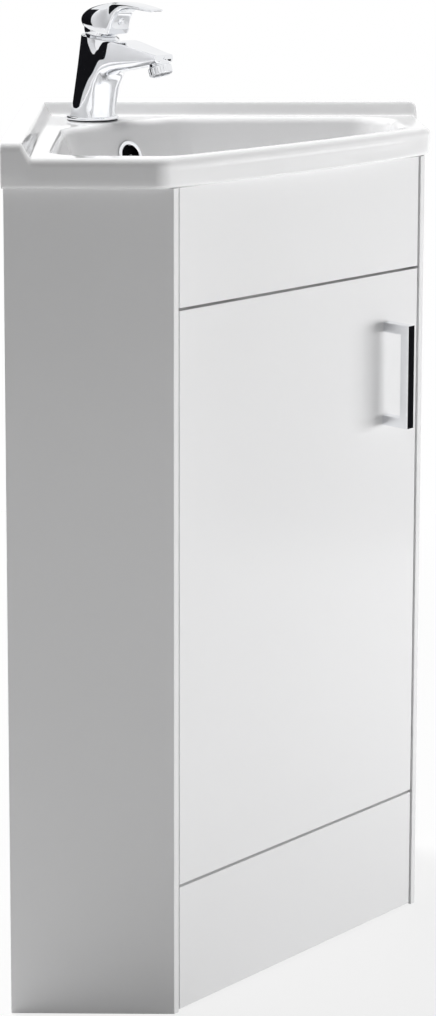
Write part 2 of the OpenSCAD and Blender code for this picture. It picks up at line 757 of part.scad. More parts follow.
// Gooseneck: out of the cup, round behind the door's edge, then flat along the side panel
module arm_section() {
    arm_tail = arm_corner + arm_run * side_dir;
    difference() {
        union() {
            translate([pin_u, pin_w]) circle(r = arm_eye_r);
            strip([pin_u, pin_w], arm_end);
        }
        translate([pin_u, pin_w]) circle(r = pin_d / 2 + 0.05);
    }
    translate(arm_loop) intersection() {
        difference() {
            circle(r = arm_loop_r + arm_t / 2);
            circle(r = arm_loop_r - arm_t / 2);
        }
        union() {
            rotate(arm_exit - 90) square(2 * arm_loop_r);
            square(2 * arm_loop_r);
        }
    }
    strip([arm_loop.x, arm_low], arm_corner);
    translate(arm_corner) circle(r = arm_t / 2);
    strip(arm_corner, arm_tail);
}

module arm_screw_spots() for (z = hinge_zs, a = arm_screws) left_half() on_side()
    translate([a, -board_t - plate_t - arm_t, z]) rotate([90, 0, 0]) children();
module plate_screw_spots() for (z = hinge_zs, k = [-1, 1]) left_half() on_side()
    translate([plate_s, -board_t - plate_foot_t, z + k * plate_screw_cc / 2]) rotate([90, 0, 0])
        children();

module hinge_arms() color("silver") difference() {
    at_hinges() translate([0, 0, -arm_w / 2]) linear_extrude(arm_w) arm_section();
    arm_screw_spots() translate([0, 0, eps])
        screw(arm_t + plate_t + 0.5, arm_screw_r + slip, arm_head_r + slip);
}
module hinge_plates() color("silver") difference() {
    for (z = hinge_zs) left_half() on_side() {
        translate([plate_s - plate_foot_w / 2, -board_t - plate_foot_t, z - plate_screw_cc / 2 - 8])
            cube([plate_foot_w, plate_foot_t, plate_screw_cc + 16]);
        translate([arm_bend + 5, -board_t - plate_t, z - arm_w / 2])
            cube([arm_run - 8, plate_t, arm_w]);
    }
    arm_screw_spots() screw(arm_t + plate_t + 0.6, arm_screw_r + slip, arm_screw_r + 1);
    plate_screw_spots() translate([0, 0, eps])
        screw(plate_screw_len, plate_screw_r + slip, plate_head_r + slip);
}
module hinge_arm_screws() color("gray") arm_screw_spots()
    screw(arm_t + plate_t - 0.5, arm_screw_r, arm_head_r);
module hinge_plate_screws() color("gray") plate_screw_spots()
    screw(plate_screw_len, plate_screw_r, plate_head_r);

// ---- Basin ---------------------------------------------------------------

// Raw plan of the basin: two wall sides, two slightly splayed sides, bowed front
module basin_raw() intersection() {
    polygon([[-big, big], [-big, -basin_leg + side_slope * big],
             [big / 2, -basin_leg - side_slope * big / 2],
             [basin_leg + side_slope * big / 2, -big / 2], [basin_leg - side_slope * big, big]]);
    rotate(45) union() {
        translate([0, basin_bow_y]) circle(r = basin_bow_r, $fn = 240);
        translate([-big, -basin_leg / 2]) square(2 * big);
    }
}
// The plan with its free edges moved in and its corners rounded
module basin_plan(inset) intersection() {
    offset(r = basin_corner_r - inset) offset(delta = -basin_corner_r) basin_raw();
    translate([0, -big]) square(big);
}
module slice(z) translate([0, 0, z]) linear_extrude(eps) children();
// Body up to the deck, with a small round below and a larger one above
module basin_body() hull() {
    for (a = [0:45:90])
        slice(cabinet_h + edge_bottom_r * (1 - sin(a))) basin_plan(edge_bottom_r * (1 - cos(a)));
    for (a = [0:30:90])
        slice(deck_z - edge_top_r * (1 - sin(a)) - eps) basin_plan(edge_top_r * (1 - cos(a)));
}

// Wall upstand along x = 0: its section, and the side view that rounds its free end
module upstand_section() polygon([[0, deck_z - 2 * edge_top_r], [0, upstand_z], [upstand_top, upstand_z],
    for (t = [0.125:0.125:1]) [upstand_top + upstand_slope * t, deck_z + upstand_h * (1 - ease(t))],
    [upstand_top + upstand_slope, deck_z - 2 * edge_top_r]]);
module upstand_side() {
    translate([upstand_end_r, deck_z - 2 * edge_top_r]) square([big, upstand_h + 2 * edge_top_r]);
    translate([0, deck_z - 2 * edge_top_r])
        square([upstand_end_r + eps, upstand_h + 2 * edge_top_r - upstand_end_r]);
    translate([upstand_end_r, upstand_z - upstand_end_r]) circle(r = upstand_end_r);
}
module upstand() intersection() {
    rotate([90, 0, 0]) linear_extrude(basin_leg) upstand_section();
    translate([-big / 2, upstand_end - basin_leg, 0]) rotate([90, 0, 90]) linear_extrude(big)
        upstand_side();
}

// Plan of the bowl, inset from its rim's edge
module bowl_plan(inset) rotate(45) offset(r = bowl_corner_r - 0.25 * inset)
    offset(delta = -bowl_corner_r - 0.75 * inset) intersection() {
        offset(delta = -rim_w) rotate(-45) basin_raw();
        rotate(-45) translate([bowl_wall_gap, -bowl_wall_gap - big]) square(big);
        translate([-big, -bowl_back - 2 * big]) square(2 * big);
    }
module bowl_hull(wall) hull() for (t = bowl_steps)
    slice(deck_z - t * (bowl_depth + wall)) bowl_plan(bowl_in(t) - wall);
module bowl_rim() for (k = [0, 1]) hull() for (p = [rim_round[k], rim_round[k + 1]])
    slice(deck_z - p.x) bowl_plan(p.y);

module duct(wall) on_diagonal() rotate([90, 0, 90]) translate([0, 0, -duct_w / 2 - wall])
    linear_extrude(duct_w + 2 * wall) offset(delta = wall) polygon([for (p = duct_form) [-p.x, p.y]]);
module on_overflow() on_diagonal() translate([0, -overflow_back, deck_z - overflow_drop])
    rotate([90 - overflow_tilt, 0, 0]) children();

module basin() color("white") difference() {
    union() {
        in_room() {
            difference() {
                basin_body();
                translate([0, 0, cabinet_h - 1]) linear_extrude(basin_edge - deck_t + 1) intersection() {
                    offset(delta = -foot_w) basin_raw();
                    translate([foot_wall, -foot_wall - big]) square(big);
                }
            }
            upstand();
            mirror([1, 1, 0]) upstand();
            bowl_hull(bowl_wall);
        }
        on_drain() translate([0, 0, -drain_boss_h]) cylinder(h = drain_boss_h, r = drain_boss_r);
        duct(duct_wall);
    }
    in_room() {
        bowl_hull(0);
        bowl_rim();
    }
    duct(0);
    on_overflow() translate([0, 0, -14]) cylinder(h = 28, r = overflow_d / 2);
    on_drain() {
        translate([0, 0, -drain_boss_h - 1]) cylinder(h = drain_boss_h + 2, r = drain_hole_r);
        translate([0, 0, -flange_seat]) cylinder(h = bowl_depth / 2, r = flange_r + 1);
    }
    on_tap() translate([0, 0, -basin_edge]) cylinder(h = basin_edge + upstand_h, r = tap_hole_d / 2);
}

module overflow_ring() color("silver") on_overflow() {
    translate([0, 0, 0.8]) ring(overflow_d / 2 + 2, overflow_d / 2 - 2.5, 2);
    translate([0, 0, -9]) ring(overflow_d / 2 - slip, overflow_d / 2 - 2.5, 10);
}

// ---- Waste ---------------------------------------------------------------

module waste_body() color("silver") on_drain() difference() {
    union() {
        rotate_extrude() polygon([[bore_r, 0], [flange_r - 4, 0], [flange_r, -1.6], [flange_r, -flange_h],
            [waste_r, -flange_h], [waste_r, -tail_top], [tail_r, -tail_top], [tail_r, -waste_len],
            [bore_r, -waste_len]]);
        for (a = [0, 90]) rotate(a) translate([-bore_r - 1, -spoke_t / 2, -hub_z - hub_h])
            cube([2 * bore_r + 2, spoke_t, hub_h]);
        translate([0, 0, -hub_z - hub_h]) cylinder(h = hub_h, r = hub_r);
    }
    translate([0, 0, -plug_seat]) cylinder(h = flange_h, r = plug_r + 0.5);
    translate([0, 0, -hub_z - hub_h - 1]) cylinder(h = hub_h + 2, r = socket_screw_r + slip);
    for (a = [45:90:315]) rotate(a) translate([0, 0, -drain_boss_h / 2]) rotate([0, 90, 0])
        cylinder(h = waste_r + 1, r = 5);
}
module waste_flange_seal() color("whitesmoke") on_drain() translate([0, 0, -flange_seat])
    ring(flange_r - 0.5, waste_r + 0.3, flange_seat - flange_h);
module waste_washer() color("dimgray") on_drain() rotate_extrude() polygon([
    [waste_r + 0.2, -drain_boss_h], [washer_r, -drain_boss_h], [washer_r, -drain_boss_h - 2],
    [washer_r - 8, -drain_boss_h - washer_h], [waste_r + 0.2, -drain_boss_h - washer_h]]);
module waste_backnut() color("silver") on_drain()
    translate([0, 0, -drain_boss_h - washer_h - backnut_h]) difference() {
        union() {
            cylinder(h = backnut_h, r = backnut_r, $fn = 6);
            translate([0, 0, backnut_h - 2]) cylinder(h = 2, r = backnut_r + 2);
        }
        translate([0, 0, -eps]) cylinder(h = backnut_h + 1, r = waste_r + slip);
    }

// The push plug: a socket screwed into the hub, a sprung stem, and the cap with its seal
module plug_socket() color("gray") on_drain() difference() {
    union() {
        translate([0, 0, -hub_z - hub_h - 3]) cylinder(h = hub_h + 4, r = socket_screw_r);
        translate([0, 0, -hub_z]) cylinder(h = socket_h, r = socket_r);
    }
    translate([0, 0, -hub_z + socket_floor]) cylinder(h = socket_h, r = stem_r + 0.08);
}
module plug_spring() color("silver") on_drain() loft([for (k = [0:spring_turns * 12])
    let (a = 30 * k, z = -hub_z + socket_floor + 0.6 + (spring_h - 1.2) * k / (spring_turns * 12))
    [for (i = [0:7]) let (q = 45 * i, r = spring_r + spring_wire_r * cos(q))
        [r * cos(a), r * sin(a), z - spring_wire_r * sin(q)]]]);
module plug_stem() color("silver") on_drain() {
    translate([0, 0, -hub_z + socket_floor + spring_h])
        cylinder(h = hub_z - socket_floor - 2 - spring_h, r = stem_r);
    translate([0, 0, -2 - eps]) cylinder(h = 3, r = stem_tip_r);
}
module plug_cap() color("silver") on_drain() difference() {
    rotate_extrude() polygon([[0, -2], [stem_r + 1, -2], [stem_r + 1, -0.2], [plug_r - 0.6, -0.2],
        [plug_r, 0.6],
        for (a = [10:16:90]) [(plug_r - 0.4) * cos(a) / cos(10), 0.8 + 2.2 * sin(a)]]);
    translate([0, 0, -2.1]) cylinder(h = 3.4, r = stem_tip_r + slip);
}
module plug_seal() color("dimgray") on_drain() translate([0, 0, -plug_seat + 0.05])
    ring(plug_r - 0.5, bore_r - 0.5, plug_seat - 0.3);

// ---- Tap -----------------------------------------------------------------

// Leaning body: a slightly waisted revolve from the base ring to the rim
module tap_stem() difference() {
    rotate([0, body_lean, 0]) rotate_extrude($fn = 96) polygon([[0, -8], [base_body_r + 1.6, -8],
        for (t = [0:0.2:1])
            [between(base_body_r, rim_r, t) - body_waist * sin(180 * t), body_len * t * 0.98],
        [rim_r, body_len + 5], [0, body_len + 5]]);
    translate([-big / 2, -big / 2, base_ring_h - big]) cube(big);
}
module spout_skin() loft([for (p = spout_form)
    ring_yz(p[0] * spout_reach, tap_body_h - p[1] - p[2] / 2, p[3], p[2] / 2, 3, 24)]);
module tap_body() color("silver") difference() {
    on_tap() union() {
        tap_stem();
        spout_skin();
        translate([0, 0, -spigot_h]) cylinder(h = spigot_h + base_ring_h + 1, r = tap_hole_d / 2 - 0.8);
    }
    on_head() translate([0, 0, cartridge_floor]) cylinder(h = big / 10, r = cartridge_r + slip);
    on_head() cylinder(h = big / 10, r = 2 * rim_r);
    on_tap() {
        for (k = [-1, 1]) translate([inlet_x, k * inlet_y, 0]) {
            translate([0, 0, -spigot_h - 1]) cylinder(h = inlet_len + 1, r = inlet_r);
            cylinder(h = tap_body_h + cartridge_floor, r = water_r);
        }
        translate([stud_x, 0, -spigot_h - 1]) cylinder(h = stud_in + spigot_h + 2, r = stud_r + slip);
        rod([rim_x + 1, 0, tap_body_h + cartridge_floor - 3], [aerator_x - 3, 0, aerator_z + 5],
            water_r + 1);
    }
    on_aerator() {
        translate([0, 0, -12]) cylinder(h = 13 + aerator_up, r = aerator_thread_r + slip);
        translate([0, 0, -12]) cylinder(h = 12 + slip, r = aerator_r + slip);
    }
}
module tap_base_ring() color("silver") on_tap() rotate_extrude() polygon([
    [tap_hole_d / 2, seal_h], [tap_base_d / 2 - 0.6, seal_h], [tap_base_d / 2, seal_h + 0.6],
    [tap_base_d / 2, base_ring_h - 1.2], [tap_base_d / 2 - 1.2, base_ring_h],
    [tap_hole_d / 2, base_ring_h]]);
module tap_base_seal() color("dimgray") on_tap() ring(tap_base_d / 2 - 1, tap_hole_d / 2 + 0.5, seal_h);
module tap_stud() color("goldenrod") on_tap() translate([stud_x, 0, -stud_out])
    cylinder(h = stud_out + stud_in, r = stud_r);
// Horseshoe plate under the deck, open towards the two supply tails
module horseshoe(z, h) on_tap() translate([0, 0, z]) difference() {
    cylinder(h = h, r = stud_plate_r);
    translate([inlet_x + inlet_r + 1 - 2 * stud_plate_r, -inlet_y - inlet_r - 1, -eps])
        cube([2 * stud_plate_r, 2 * (inlet_y + inlet_r + 1), h + 2 * eps]);
    translate([stud_x, 0, -eps]) cylinder(h = h + 2 * eps, r = stud_r + 0.4);
}
rubber_z = -deck_t - stud_rubber_t;
washer_z = rubber_z - stud_washer_t;
module stud_rubber() color("dimgray") horseshoe(rubber_z, stud_rubber_t);
module stud_washer() color("silver") horseshoe(washer_z, stud_washer_t);
module stud_nut() color("goldenrod") on_tap() translate([stud_x, 0, washer_z - stud_nut_h])
    difference() {
        cylinder(h = stud_nut_h, r = stud_nut_r, $fn = 6);
        translate([0, 0, -eps]) cylinder(h = stud_nut_h + 1, r = stud_r + slip);
    }

module cartridge() color("white") on_head() rotate_extrude() polygon([
    [0, cartridge_floor], [cartridge_r, cartridge_floor], [cartridge_r, -nut_h - slip],
    [nut_bore_r - 0.2, -nut_h - slip], [nut_bore_r - 0.2, 0], [carrier_r + 0.08, 0],
    [carrier_r + 0.08, -13.5], [carrier_foot_r + 0.3, -13.5], [carrier_foot_r + 0.3, -24], [0, -24]]);
module cartridge_nut() color("goldenrod") on_head() difference() {
    translate([0, 0, -nut_h]) ring(cartridge_r, nut_bore_r, nut_h);
    for (a = [0, 90]) rotate(a) translate([-big / 10, -nut_slot / 2, -2])
        cube([big / 5, nut_slot, 3]);
}
// Block that cuts a part of the head off below a level
module cut_below() translate([-tap_body_h, -tap_body_h, -2 * tap_body_h]) cube(2 * tap_body_h);

module neck_cover() color("silver") on_head() difference() {
    translate([0, 0, ball_h]) sphere(r = ball_r, $fn = 96);
    translate([0, 0, ball_h]) sphere(r = ball_r - neck_wall, $fn = 96);
    cut_below();
    translate([0, 0, ball_h + 4]) mirror([0, 0, 1]) cut_below();
}
module stem_carrier() color("lightgray") on_head() difference() {
    rotate_extrude() polygon([[0, -20], [carrier_foot_r, -20], [carrier_foot_r, -13.7],
        [carrier_r, -13.7], [carrier_r, carrier_top - 0.8], [carrier_r - 1.6, carrier_top],
        [0, carrier_top]]);
    translate([-2 * carrier_r, -stem_y / 2 - slip, ball_h - 8])
        cube([4 * carrier_r, stem_y + 2 * slip, 20]);
    on_axle() cylinder(h = 2 * axle_len, r = axle_r + 0.03, center = true);
}
// Level axle through the ball's centre, on which the lever tips
module on_axle() translate([0, 0, ball_h]) rotate([90, 0, 0]) children();
module carrier_pin() color("silver") on_head() on_axle()
    cylinder(h = axle_len, r = axle_r, center = true);
module lever_stem() color("goldenrod") on_head() difference() {
    translate([-stem_x / 2, -stem_y / 2, ball_h - 5]) cube([stem_x, stem_y, 19]);
    on_axle() cylinder(h = 2 * axle_len, r = axle_r + 0.06, center = true);
}

// Domed cap over the ball, drawn out into the lever, hollow round the neck cover
module lever() color("silver") difference() {
    union() {
        difference() {
            union() {
                on_head() translate([0, 0, ball_h]) sphere(r = cap_r, $fn = 96);
                on_tap() loft([for (p = lever_form)
                    ring_yz(p[0] * lever_reach, tap_body_h + p[1], p[3], p[2], 2.6, 28)]);
            }
            on_head() translate([0, 0, ball_h]) sphere(r = cap_r - cap_t, $fn = 96);
        }
        on_head() intersection() {
            translate([0, 0, boss_low]) cylinder(h = 20, r = boss_r);
            translate([0, 0, ball_h]) sphere(r = cap_r - 1, $fn = 96);
        }
    }
    on_head() {
        translate([0, 0, ball_h / 2 + 0.3]) rotate([0, cap_cut, 0]) cut_below();
        translate([-stem_x / 2 - slip, -stem_y / 2 - slip, 0])
            cube([stem_x + 2 * slip, stem_y + 2 * slip, ball_h + 14 + slip]);
        translate([0, 0, plug_axis_z]) rotate([0, 90, 0]) cylinder(h = 60, r = grub_r + slip);
        translate([cap_r - 3, 0, plug_axis_z]) rotate([0, 90, 0])
            cylinder(h = 60, r = indicator_r + slip);
    }
}
module lever_grub_screw() color("gray") on_head() translate([stem_x / 2 + 2 * slip, 0, plug_axis_z])
    rotate([0, 90, 0]) cylinder(h = 5, r = grub_r);
module indicator_plug() color("silver") on_head() translate([cap_r - 3, 0, plug_axis_z])
    rotate([0, 90, 0]) {
        cylinder(h = 1.8, r = indicator_r);
        rotate_extrude() polygon([[0, 1.7], [3.4, 1.7], [2.2, 2.3], [0, 2.5]]);
    }

module aerator_housing() color("silver") on_aerator() rotate_extrude() polygon([
    [insert_r + slip, -aerator_h], [aerator_r - 0.8, -aerator_h], [aerator_r, -aerator_h + 0.8],
    [aerator_r, -0.6], [aerator_r - 0.6, 0], [aerator_thread_r, 0], [aerator_thread_r, aerator_up],
    [insert_r + slip, aerator_up]]);
module aerator_insert() color("gray") on_aerator() difference() {
    translate([0, 0, -aerator_h + 1]) cylinder(h = aerator_h + 4, r = insert_r);
    for (a = [0:60:300]) rotate(a) translate([5.6, 0, -aerator_h]) cylinder(h = 3, r = insert_hole_r);
    translate([0, 0, -aerator_h]) cylinder(h = 3, r = insert_hole_r);
}

side_panel_left();
side_panel_right();
base_panel();
plinth();
fascia();
front_stretcher();
back_rail_left();
back_rail_right();
cam_bolts();
cam_locks();
wood_dowels();
rail_screws();
fascia_brackets();
plinth_brackets();
bracket_screws();
leg_socket();
leg_foot();
leg_screws();
door_panel();
door_buffers();
handle();
handle_screws();
hinge_cups();
hinge_pins();
hinge_cup_screws();
hinge_arms();
hinge_plates();
hinge_arm_screws();
hinge_plate_screws();
basin();
overflow_ring();
waste_body();
waste_flange_seal();
waste_washer();
waste_backnut();
plug_socket();
plug_spring();
plug_stem();
plug_cap();
plug_seal();
tap_body();
tap_base_ring();
tap_base_seal();
tap_stud();
stud_rubber();
stud_washer();
stud_nut();
cartridge();
cartridge_nut();
neck_cover();
stem_carrier();
carrier_pin();
lever_stem();
lever();
lever_grub_screw();
indicator_plug();
aerator_housing();
aerator_insert();
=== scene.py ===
"""Corner vanity unit: the finish and the final shape of every visible piece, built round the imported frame.

Sizes are in millimetres where no comment says otherwise; the frame and all meshes are in metres.
The walls stand at the frame's lowest x and highest y, and the room lies towards +x and -y.
"""

import json
import math

import bmesh
import bpy
import numpy as np
from mathutils import Matrix, Vector
from mathutils.bvhtree import BVHTree


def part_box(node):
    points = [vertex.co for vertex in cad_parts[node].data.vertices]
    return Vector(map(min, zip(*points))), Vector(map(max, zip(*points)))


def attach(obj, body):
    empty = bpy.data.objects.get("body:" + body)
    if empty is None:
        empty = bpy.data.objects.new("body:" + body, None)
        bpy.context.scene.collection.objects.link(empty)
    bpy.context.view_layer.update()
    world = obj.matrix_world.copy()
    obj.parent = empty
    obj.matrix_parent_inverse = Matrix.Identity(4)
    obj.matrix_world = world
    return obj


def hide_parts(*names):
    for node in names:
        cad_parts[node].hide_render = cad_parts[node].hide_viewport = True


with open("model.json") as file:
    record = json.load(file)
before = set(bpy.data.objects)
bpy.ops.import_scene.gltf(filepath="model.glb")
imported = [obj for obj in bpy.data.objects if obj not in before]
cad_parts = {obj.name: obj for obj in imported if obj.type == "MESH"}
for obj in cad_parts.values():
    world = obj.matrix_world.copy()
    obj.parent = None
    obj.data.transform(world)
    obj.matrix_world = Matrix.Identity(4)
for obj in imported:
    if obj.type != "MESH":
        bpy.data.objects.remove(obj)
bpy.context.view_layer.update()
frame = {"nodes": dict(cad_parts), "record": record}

MM = 0.001
ROOT2 = math.sqrt(2)
NODES = frame["nodes"]
SLOT_OF = {part["node"]: part["material_slot"] for part in frame["record"]["subparts"]}

# ---- Places, from the frame ----

wall_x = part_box("basin")[0].x
wall_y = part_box("basin")[1].y
cabinet_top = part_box("side_panel_left")[1].z
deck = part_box("tap_base_seal")[0].z
upstand_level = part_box("basin")[1].z
tap_middle = (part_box("tap_base_seal")[0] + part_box("tap_base_seal")[1]) / 2


def room(x, y, z):
    """A place given in mm from the wall corner: x along the back wall, y out of it, z over the floor."""
    return Vector((wall_x + x * MM, wall_y - y * MM, z * MM))


def diagonal(across, out, z):
    """A place in mm: across the diagonal front, out from the wall corner, z over the floor."""
    return room((out + across) / ROOT2, (out - across) / ROOT2, z)


def tap_place(along, across, z):
    """A place in mm: along the spout, across it, and over the deck, from the middle of the tap hole."""
    return Vector((tap_middle.x + (along + across) / ROOT2 * MM,
                   tap_middle.y + (across - along) / ROOT2 * MM, deck + z * MM))


# ---- Finishes ----

NOISE_LOW, NOISE_HIGH = 0.3, 0.7    # between which most of a noise's values lie
ROUGH_SPREAD = 0.15                 # share by which a roughness varies


def add_noise(tree, coords, scale, detail):
    noise = tree.nodes.new("ShaderNodeTexNoise")
    noise.inputs["Scale"].default_value = scale
    noise.inputs["Detail"].default_value = detail
    tree.links.new(coords, noise.inputs["Vector"])
    return noise.outputs["Fac"]


def add_math(tree, operation, first, second):
    """A math node's result; each of its two inputs is a socket or a number."""
    node = tree.nodes.new("ShaderNodeMath")
    node.operation = operation
    for k, value in enumerate((first, second)):
        if isinstance(value, bpy.types.NodeSocket):
            tree.links.new(value, node.inputs[k])
        else:
            node.inputs[k].default_value = value
    return node.outputs[0]


def add_range(tree, value, low, high):
    """Spreads a noise value over low to high."""
    spread = tree.nodes.new("ShaderNodeMapRange")
    spread.inputs["From Min"].default_value = NOISE_LOW
    spread.inputs["From Max"].default_value = NOISE_HIGH
    spread.inputs["To Min"].default_value = low
    spread.inputs["To Max"].default_value = high
    tree.links.new(value, spread.inputs["Value"])
    return spread.outputs["Result"]


def make_finish(name, color, rough, vary, grain, clouds=6.0, relief=0.02, depth=0.0003,
                stretch=(1, 1, 1), **shader_values):
    """One finish: a base colour with soft clouds, a roughness that varies with them, and a fine relief.

    vary is the share by which the colour changes, clouds and grain are noise scales per metre,
    and shader_values are constants for the shader's own sockets.
    """
    material = bpy.data.materials.new(name)
    material.use_nodes = True
    tree = material.node_tree
    shader = tree.nodes["Principled BSDF"]
    coords = tree.nodes.new("ShaderNodeTexCoord")
    mapping = tree.nodes.new("ShaderNodeMapping")
    mapping.inputs["Scale"].default_value = stretch
    tree.links.new(coords.outputs["Object"], mapping.inputs["Vector"])
    cloud = add_noise(tree, mapping.outputs["Vector"], clouds, detail=3)
    fine = add_noise(tree, mapping.outputs["Vector"], grain, detail=4)

    mix = tree.nodes.new("ShaderNodeMix")
    mix.data_type = "RGBA"
    mix.inputs["A"].default_value = [c * (1 - vary) for c in color] + [1]
    mix.inputs["B"].default_value = [min(1, c * (1 + vary)) for c in color] + [1]
    tree.links.new(add_range(tree, cloud, 0, 1), mix.inputs["Factor"])
    tree.links.new(mix.outputs["Result"], shader.inputs["Base Color"])
    rough_varied = add_range(tree, cloud, rough * (1 - ROUGH_SPREAD), rough * (1 + ROUGH_SPREAD))
    tree.links.new(rough_varied, shader.inputs["Roughness"])

    bump = tree.nodes.new("ShaderNodeBump")
    bump.inputs["Strength"].default_value = relief
    bump.inputs["Distance"].default_value = depth
    tree.links.new(fine, bump.inputs["Height"])
    tree.links.new(bump.outputs["Normal"], shader.inputs["Normal"])
    for socket, value in shader_values.items():
        shader.inputs[socket].default_value = value
    return material


BOARD_WHITE = (0.86, 0.86, 0.865)
GLAZE_WHITE = (0.88, 0.88, 0.885)
FINISHES = {
    "white_board": make_finish("white_board", BOARD_WHITE, 0.16, vary=0.006, clouds=4, grain=900,
                               relief=0.05, **{"Specular IOR Level": 0.5}),
    "rail_board": make_finish("rail_board", (0.78, 0.78, 0.77), 0.4, vary=0.015, grain=700, relief=0.12),
    "beech": make_finish("beech", (0.56, 0.36, 0.19), 0.6, vary=0.16, clouds=40, grain=220, relief=0.3,
                         stretch=(1, 6, 1)),
    "zinc_steel": make_finish("zinc_steel", (0.62, 0.63, 0.66), 0.3, vary=0.07, clouds=120, grain=900,
                              relief=0.08, Metallic=1.0),
    "zinc_cast": make_finish("zinc_cast", (0.48, 0.49, 0.51), 0.42, vary=0.06, clouds=90, grain=1500,
                             relief=0.15, Metallic=1.0),
    "black_plastic": make_finish("black_plastic", (0.022, 0.022, 0.024), 0.45, vary=0.15, grain=1800,
                                 relief=0.3),
    "clear_buffer": make_finish("clear_buffer", (0.82, 0.84, 0.86), 0.25, vary=0.03, grain=600,
                                **{"Transmission Weight": 0.7}),
    "glazed_white": make_finish("glazed_white", GLAZE_WHITE, 0.07, vary=0.006, clouds=9, grain=60,
                                relief=0.015, depth=0.0006, **{"Coat Weight": 0.3, "Coat Roughness": 0.03}),
    "chrome_trim": make_finish("chrome_trim", (0.84, 0.85, 0.87), 0.035, vary=0.015, clouds=60, grain=150,
                               relief=0.004, Metallic=1.0),
    "brass_plain": make_finish("brass_plain", (0.68, 0.47, 0.19), 0.28, vary=0.08, clouds=150, grain=1200,
                               relief=0.1, Metallic=1.0),
    "seal_rubber": make_finish("seal_rubber", (0.03, 0.03, 0.032), 0.6, vary=0.15, grain=1500, relief=0.2),
    "white_plastic": make_finish("white_plastic", (0.8, 0.8, 0.77), 0.35, vary=0.03, grain=1200,
                                 relief=0.12),
    "grey_plastic": make_finish("grey_plastic", (0.2, 0.205, 0.215), 0.4, vary=0.08, grain=1500,
                                relief=0.2),
}
for node_name, part in NODES.items():
    part.data.materials.clear()
    part.data.materials.append(FINISHES[SLOT_OF[node_name]])


# ---- Mesh helpers ----

SHARP_ANGLE = 35.0          # degrees from which two faces meet in a hard edge
MERGE_DISTANCE = 1e-6       # within which two points are one
CIRCLE_STEPS = 96
EASED_STEPS = 3
EASED_SHARE = 0.45          # share of an edge that a rounded corner may take


def smooth_shaded(mesh, sharp):
    mesh.shade_smooth()
    mesh.set_sharp_from_angle(angle=math.radians(sharp))


def add_piece(name, mesh, body, *replaced, sharp=SHARP_ANGLE):
    """Puts a mesh into the scene as a piece of a body, in the finish of the node that it stands for."""
    piece = bpy.data.objects.new(name, mesh)
    bpy.context.scene.collection.objects.link(piece)
    slot = SLOT_OF[replaced[0]]
    mesh.materials.clear()
    mesh.materials.append(FINISHES[slot])
    smooth_shaded(mesh, sharp)
    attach(piece, body)
    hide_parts(*replaced)


def mesh_of(name, verts, faces):
    mesh = bpy.data.meshes.new(name)
    mesh.from_pydata([tuple(v) for v in verts], [], faces)
    mesh.validate()
    bm = bmesh.new()
    bm.from_mesh(mesh)
    bmesh.ops.recalc_face_normals(bm, faces=bm.faces)
    bm.to_mesh(mesh)
    bm.free()
    return mesh


def grid_faces(rows, columns, closed_rows=False):
    """Quads between rings of points; each ring closes on itself, and the last may join the first."""
    faces = []
    for row in range(rows if closed_rows else rows - 1):
        up = (row + 1) % rows
        for column in range(columns):
            side = (column + 1) % columns
            faces.append((row * columns + column, row * columns + side,
                          up * columns + side, up * columns + column))
    return faces


def lathe(name, profile, place, steps=CIRCLE_STEPS, closed=False, flute_count=0, flute_depth=0.0,
          is_fluted=lambda r, z: False):
    """Revolves (radius, height) points in mm about a frame's z axis; points at radius 0 close the form.

    is_fluted says which points of the profile lie in the grooves of a fluted outside.
    """
    rings = [p for p in profile if p[0] > 0]
    verts = []
    for r, z in rings:
        for a in [2 * math.pi * k / steps for k in range(steps)]:
            out = r
            if is_fluted(r, z):
                out -= flute_depth * math.sqrt(max(0, math.cos(flute_count * a)))
            verts.append(place @ Vector((out * math.cos(a) * MM, out * math.sin(a) * MM, z * MM)))
    faces = grid_faces(len(rings), steps, closed)
    if not closed:
        for end, row in ((profile[0], 0), (profile[-1], len(rings) - 1)):
            if end[0] == 0:
                verts.append(place @ Vector((0, 0, end[1] * MM)))
                faces += [(row * steps + k, row * steps + (k + 1) % steps, len(verts) - 1)
                          for k in range(steps)]
    return mesh_of(name, verts, faces)


def eased(points, size):
    """A closed profile whose corners off the axis are rounded over about the given size in mm."""
    result = []
    count = len(points)
    for k, (r, z) in enumerate(points):
        before, after = points[k - 1], points[(k + 1) % count]
        if r == 0:
            result.append((r, z))
            continue
        corner = Vector((r, z))
        a, b = Vector(before) - corner, Vector(after) - corner
        taken = min(size, a.length * EASED_SHARE, b.length * EASED_SHARE)
        start, end = corner + a.normalized() * taken, corner + b.normalized() * taken
        for step in range(EASED_STEPS + 1):
            t = step / EASED_STEPS
            result.append(tuple(start * (1 - t) ** 2 + corner * 2 * t * (1 - t) + end * t ** 2))
    return result


def applied(mesh, kind, **settings):
    """The mesh after a modifier."""
    carrier = bpy.data.objects.new("carrier", mesh)
    bpy.context.scene.collection.objects.link(carrier)
    modifier = carrier.modifiers.new(kind.lower(), kind)
    for key, value in settings.items():
        setattr(modifier, key, value)
    graph = bpy.context.evaluated_depsgraph_get()
    result = bpy.data.meshes.new_from_object(carrier.evaluated_get(graph))
    bpy.data.objects.remove(carrier)
    return result


def combined(mesh, other, operation):
    """The mesh joined with, or cut by, another closed mesh."""
    tool = bpy.data.objects.new("tool", other)
    bpy.context.scene.collection.objects.link(tool)
    result = applied(mesh, "BOOLEAN", object=tool, operation=operation, solver="EXACT")
    bpy.data.objects.remove(tool)
    return result


def bored(mesh, radius, place, half_length):
    """The mesh with a round hole along a frame's z axis."""
    profile = [(0, -half_length), (radius, -half_length), (radius, half_length), (0, half_length)]
    return combined(mesh, lathe("drill", profile, place, steps=64), "DIFFERENCE")


def surface_tree(mesh):
    return BVHTree.FromPolygons([v.co for v in mesh.vertices], [tuple(f.vertices) for f in mesh.polygons])


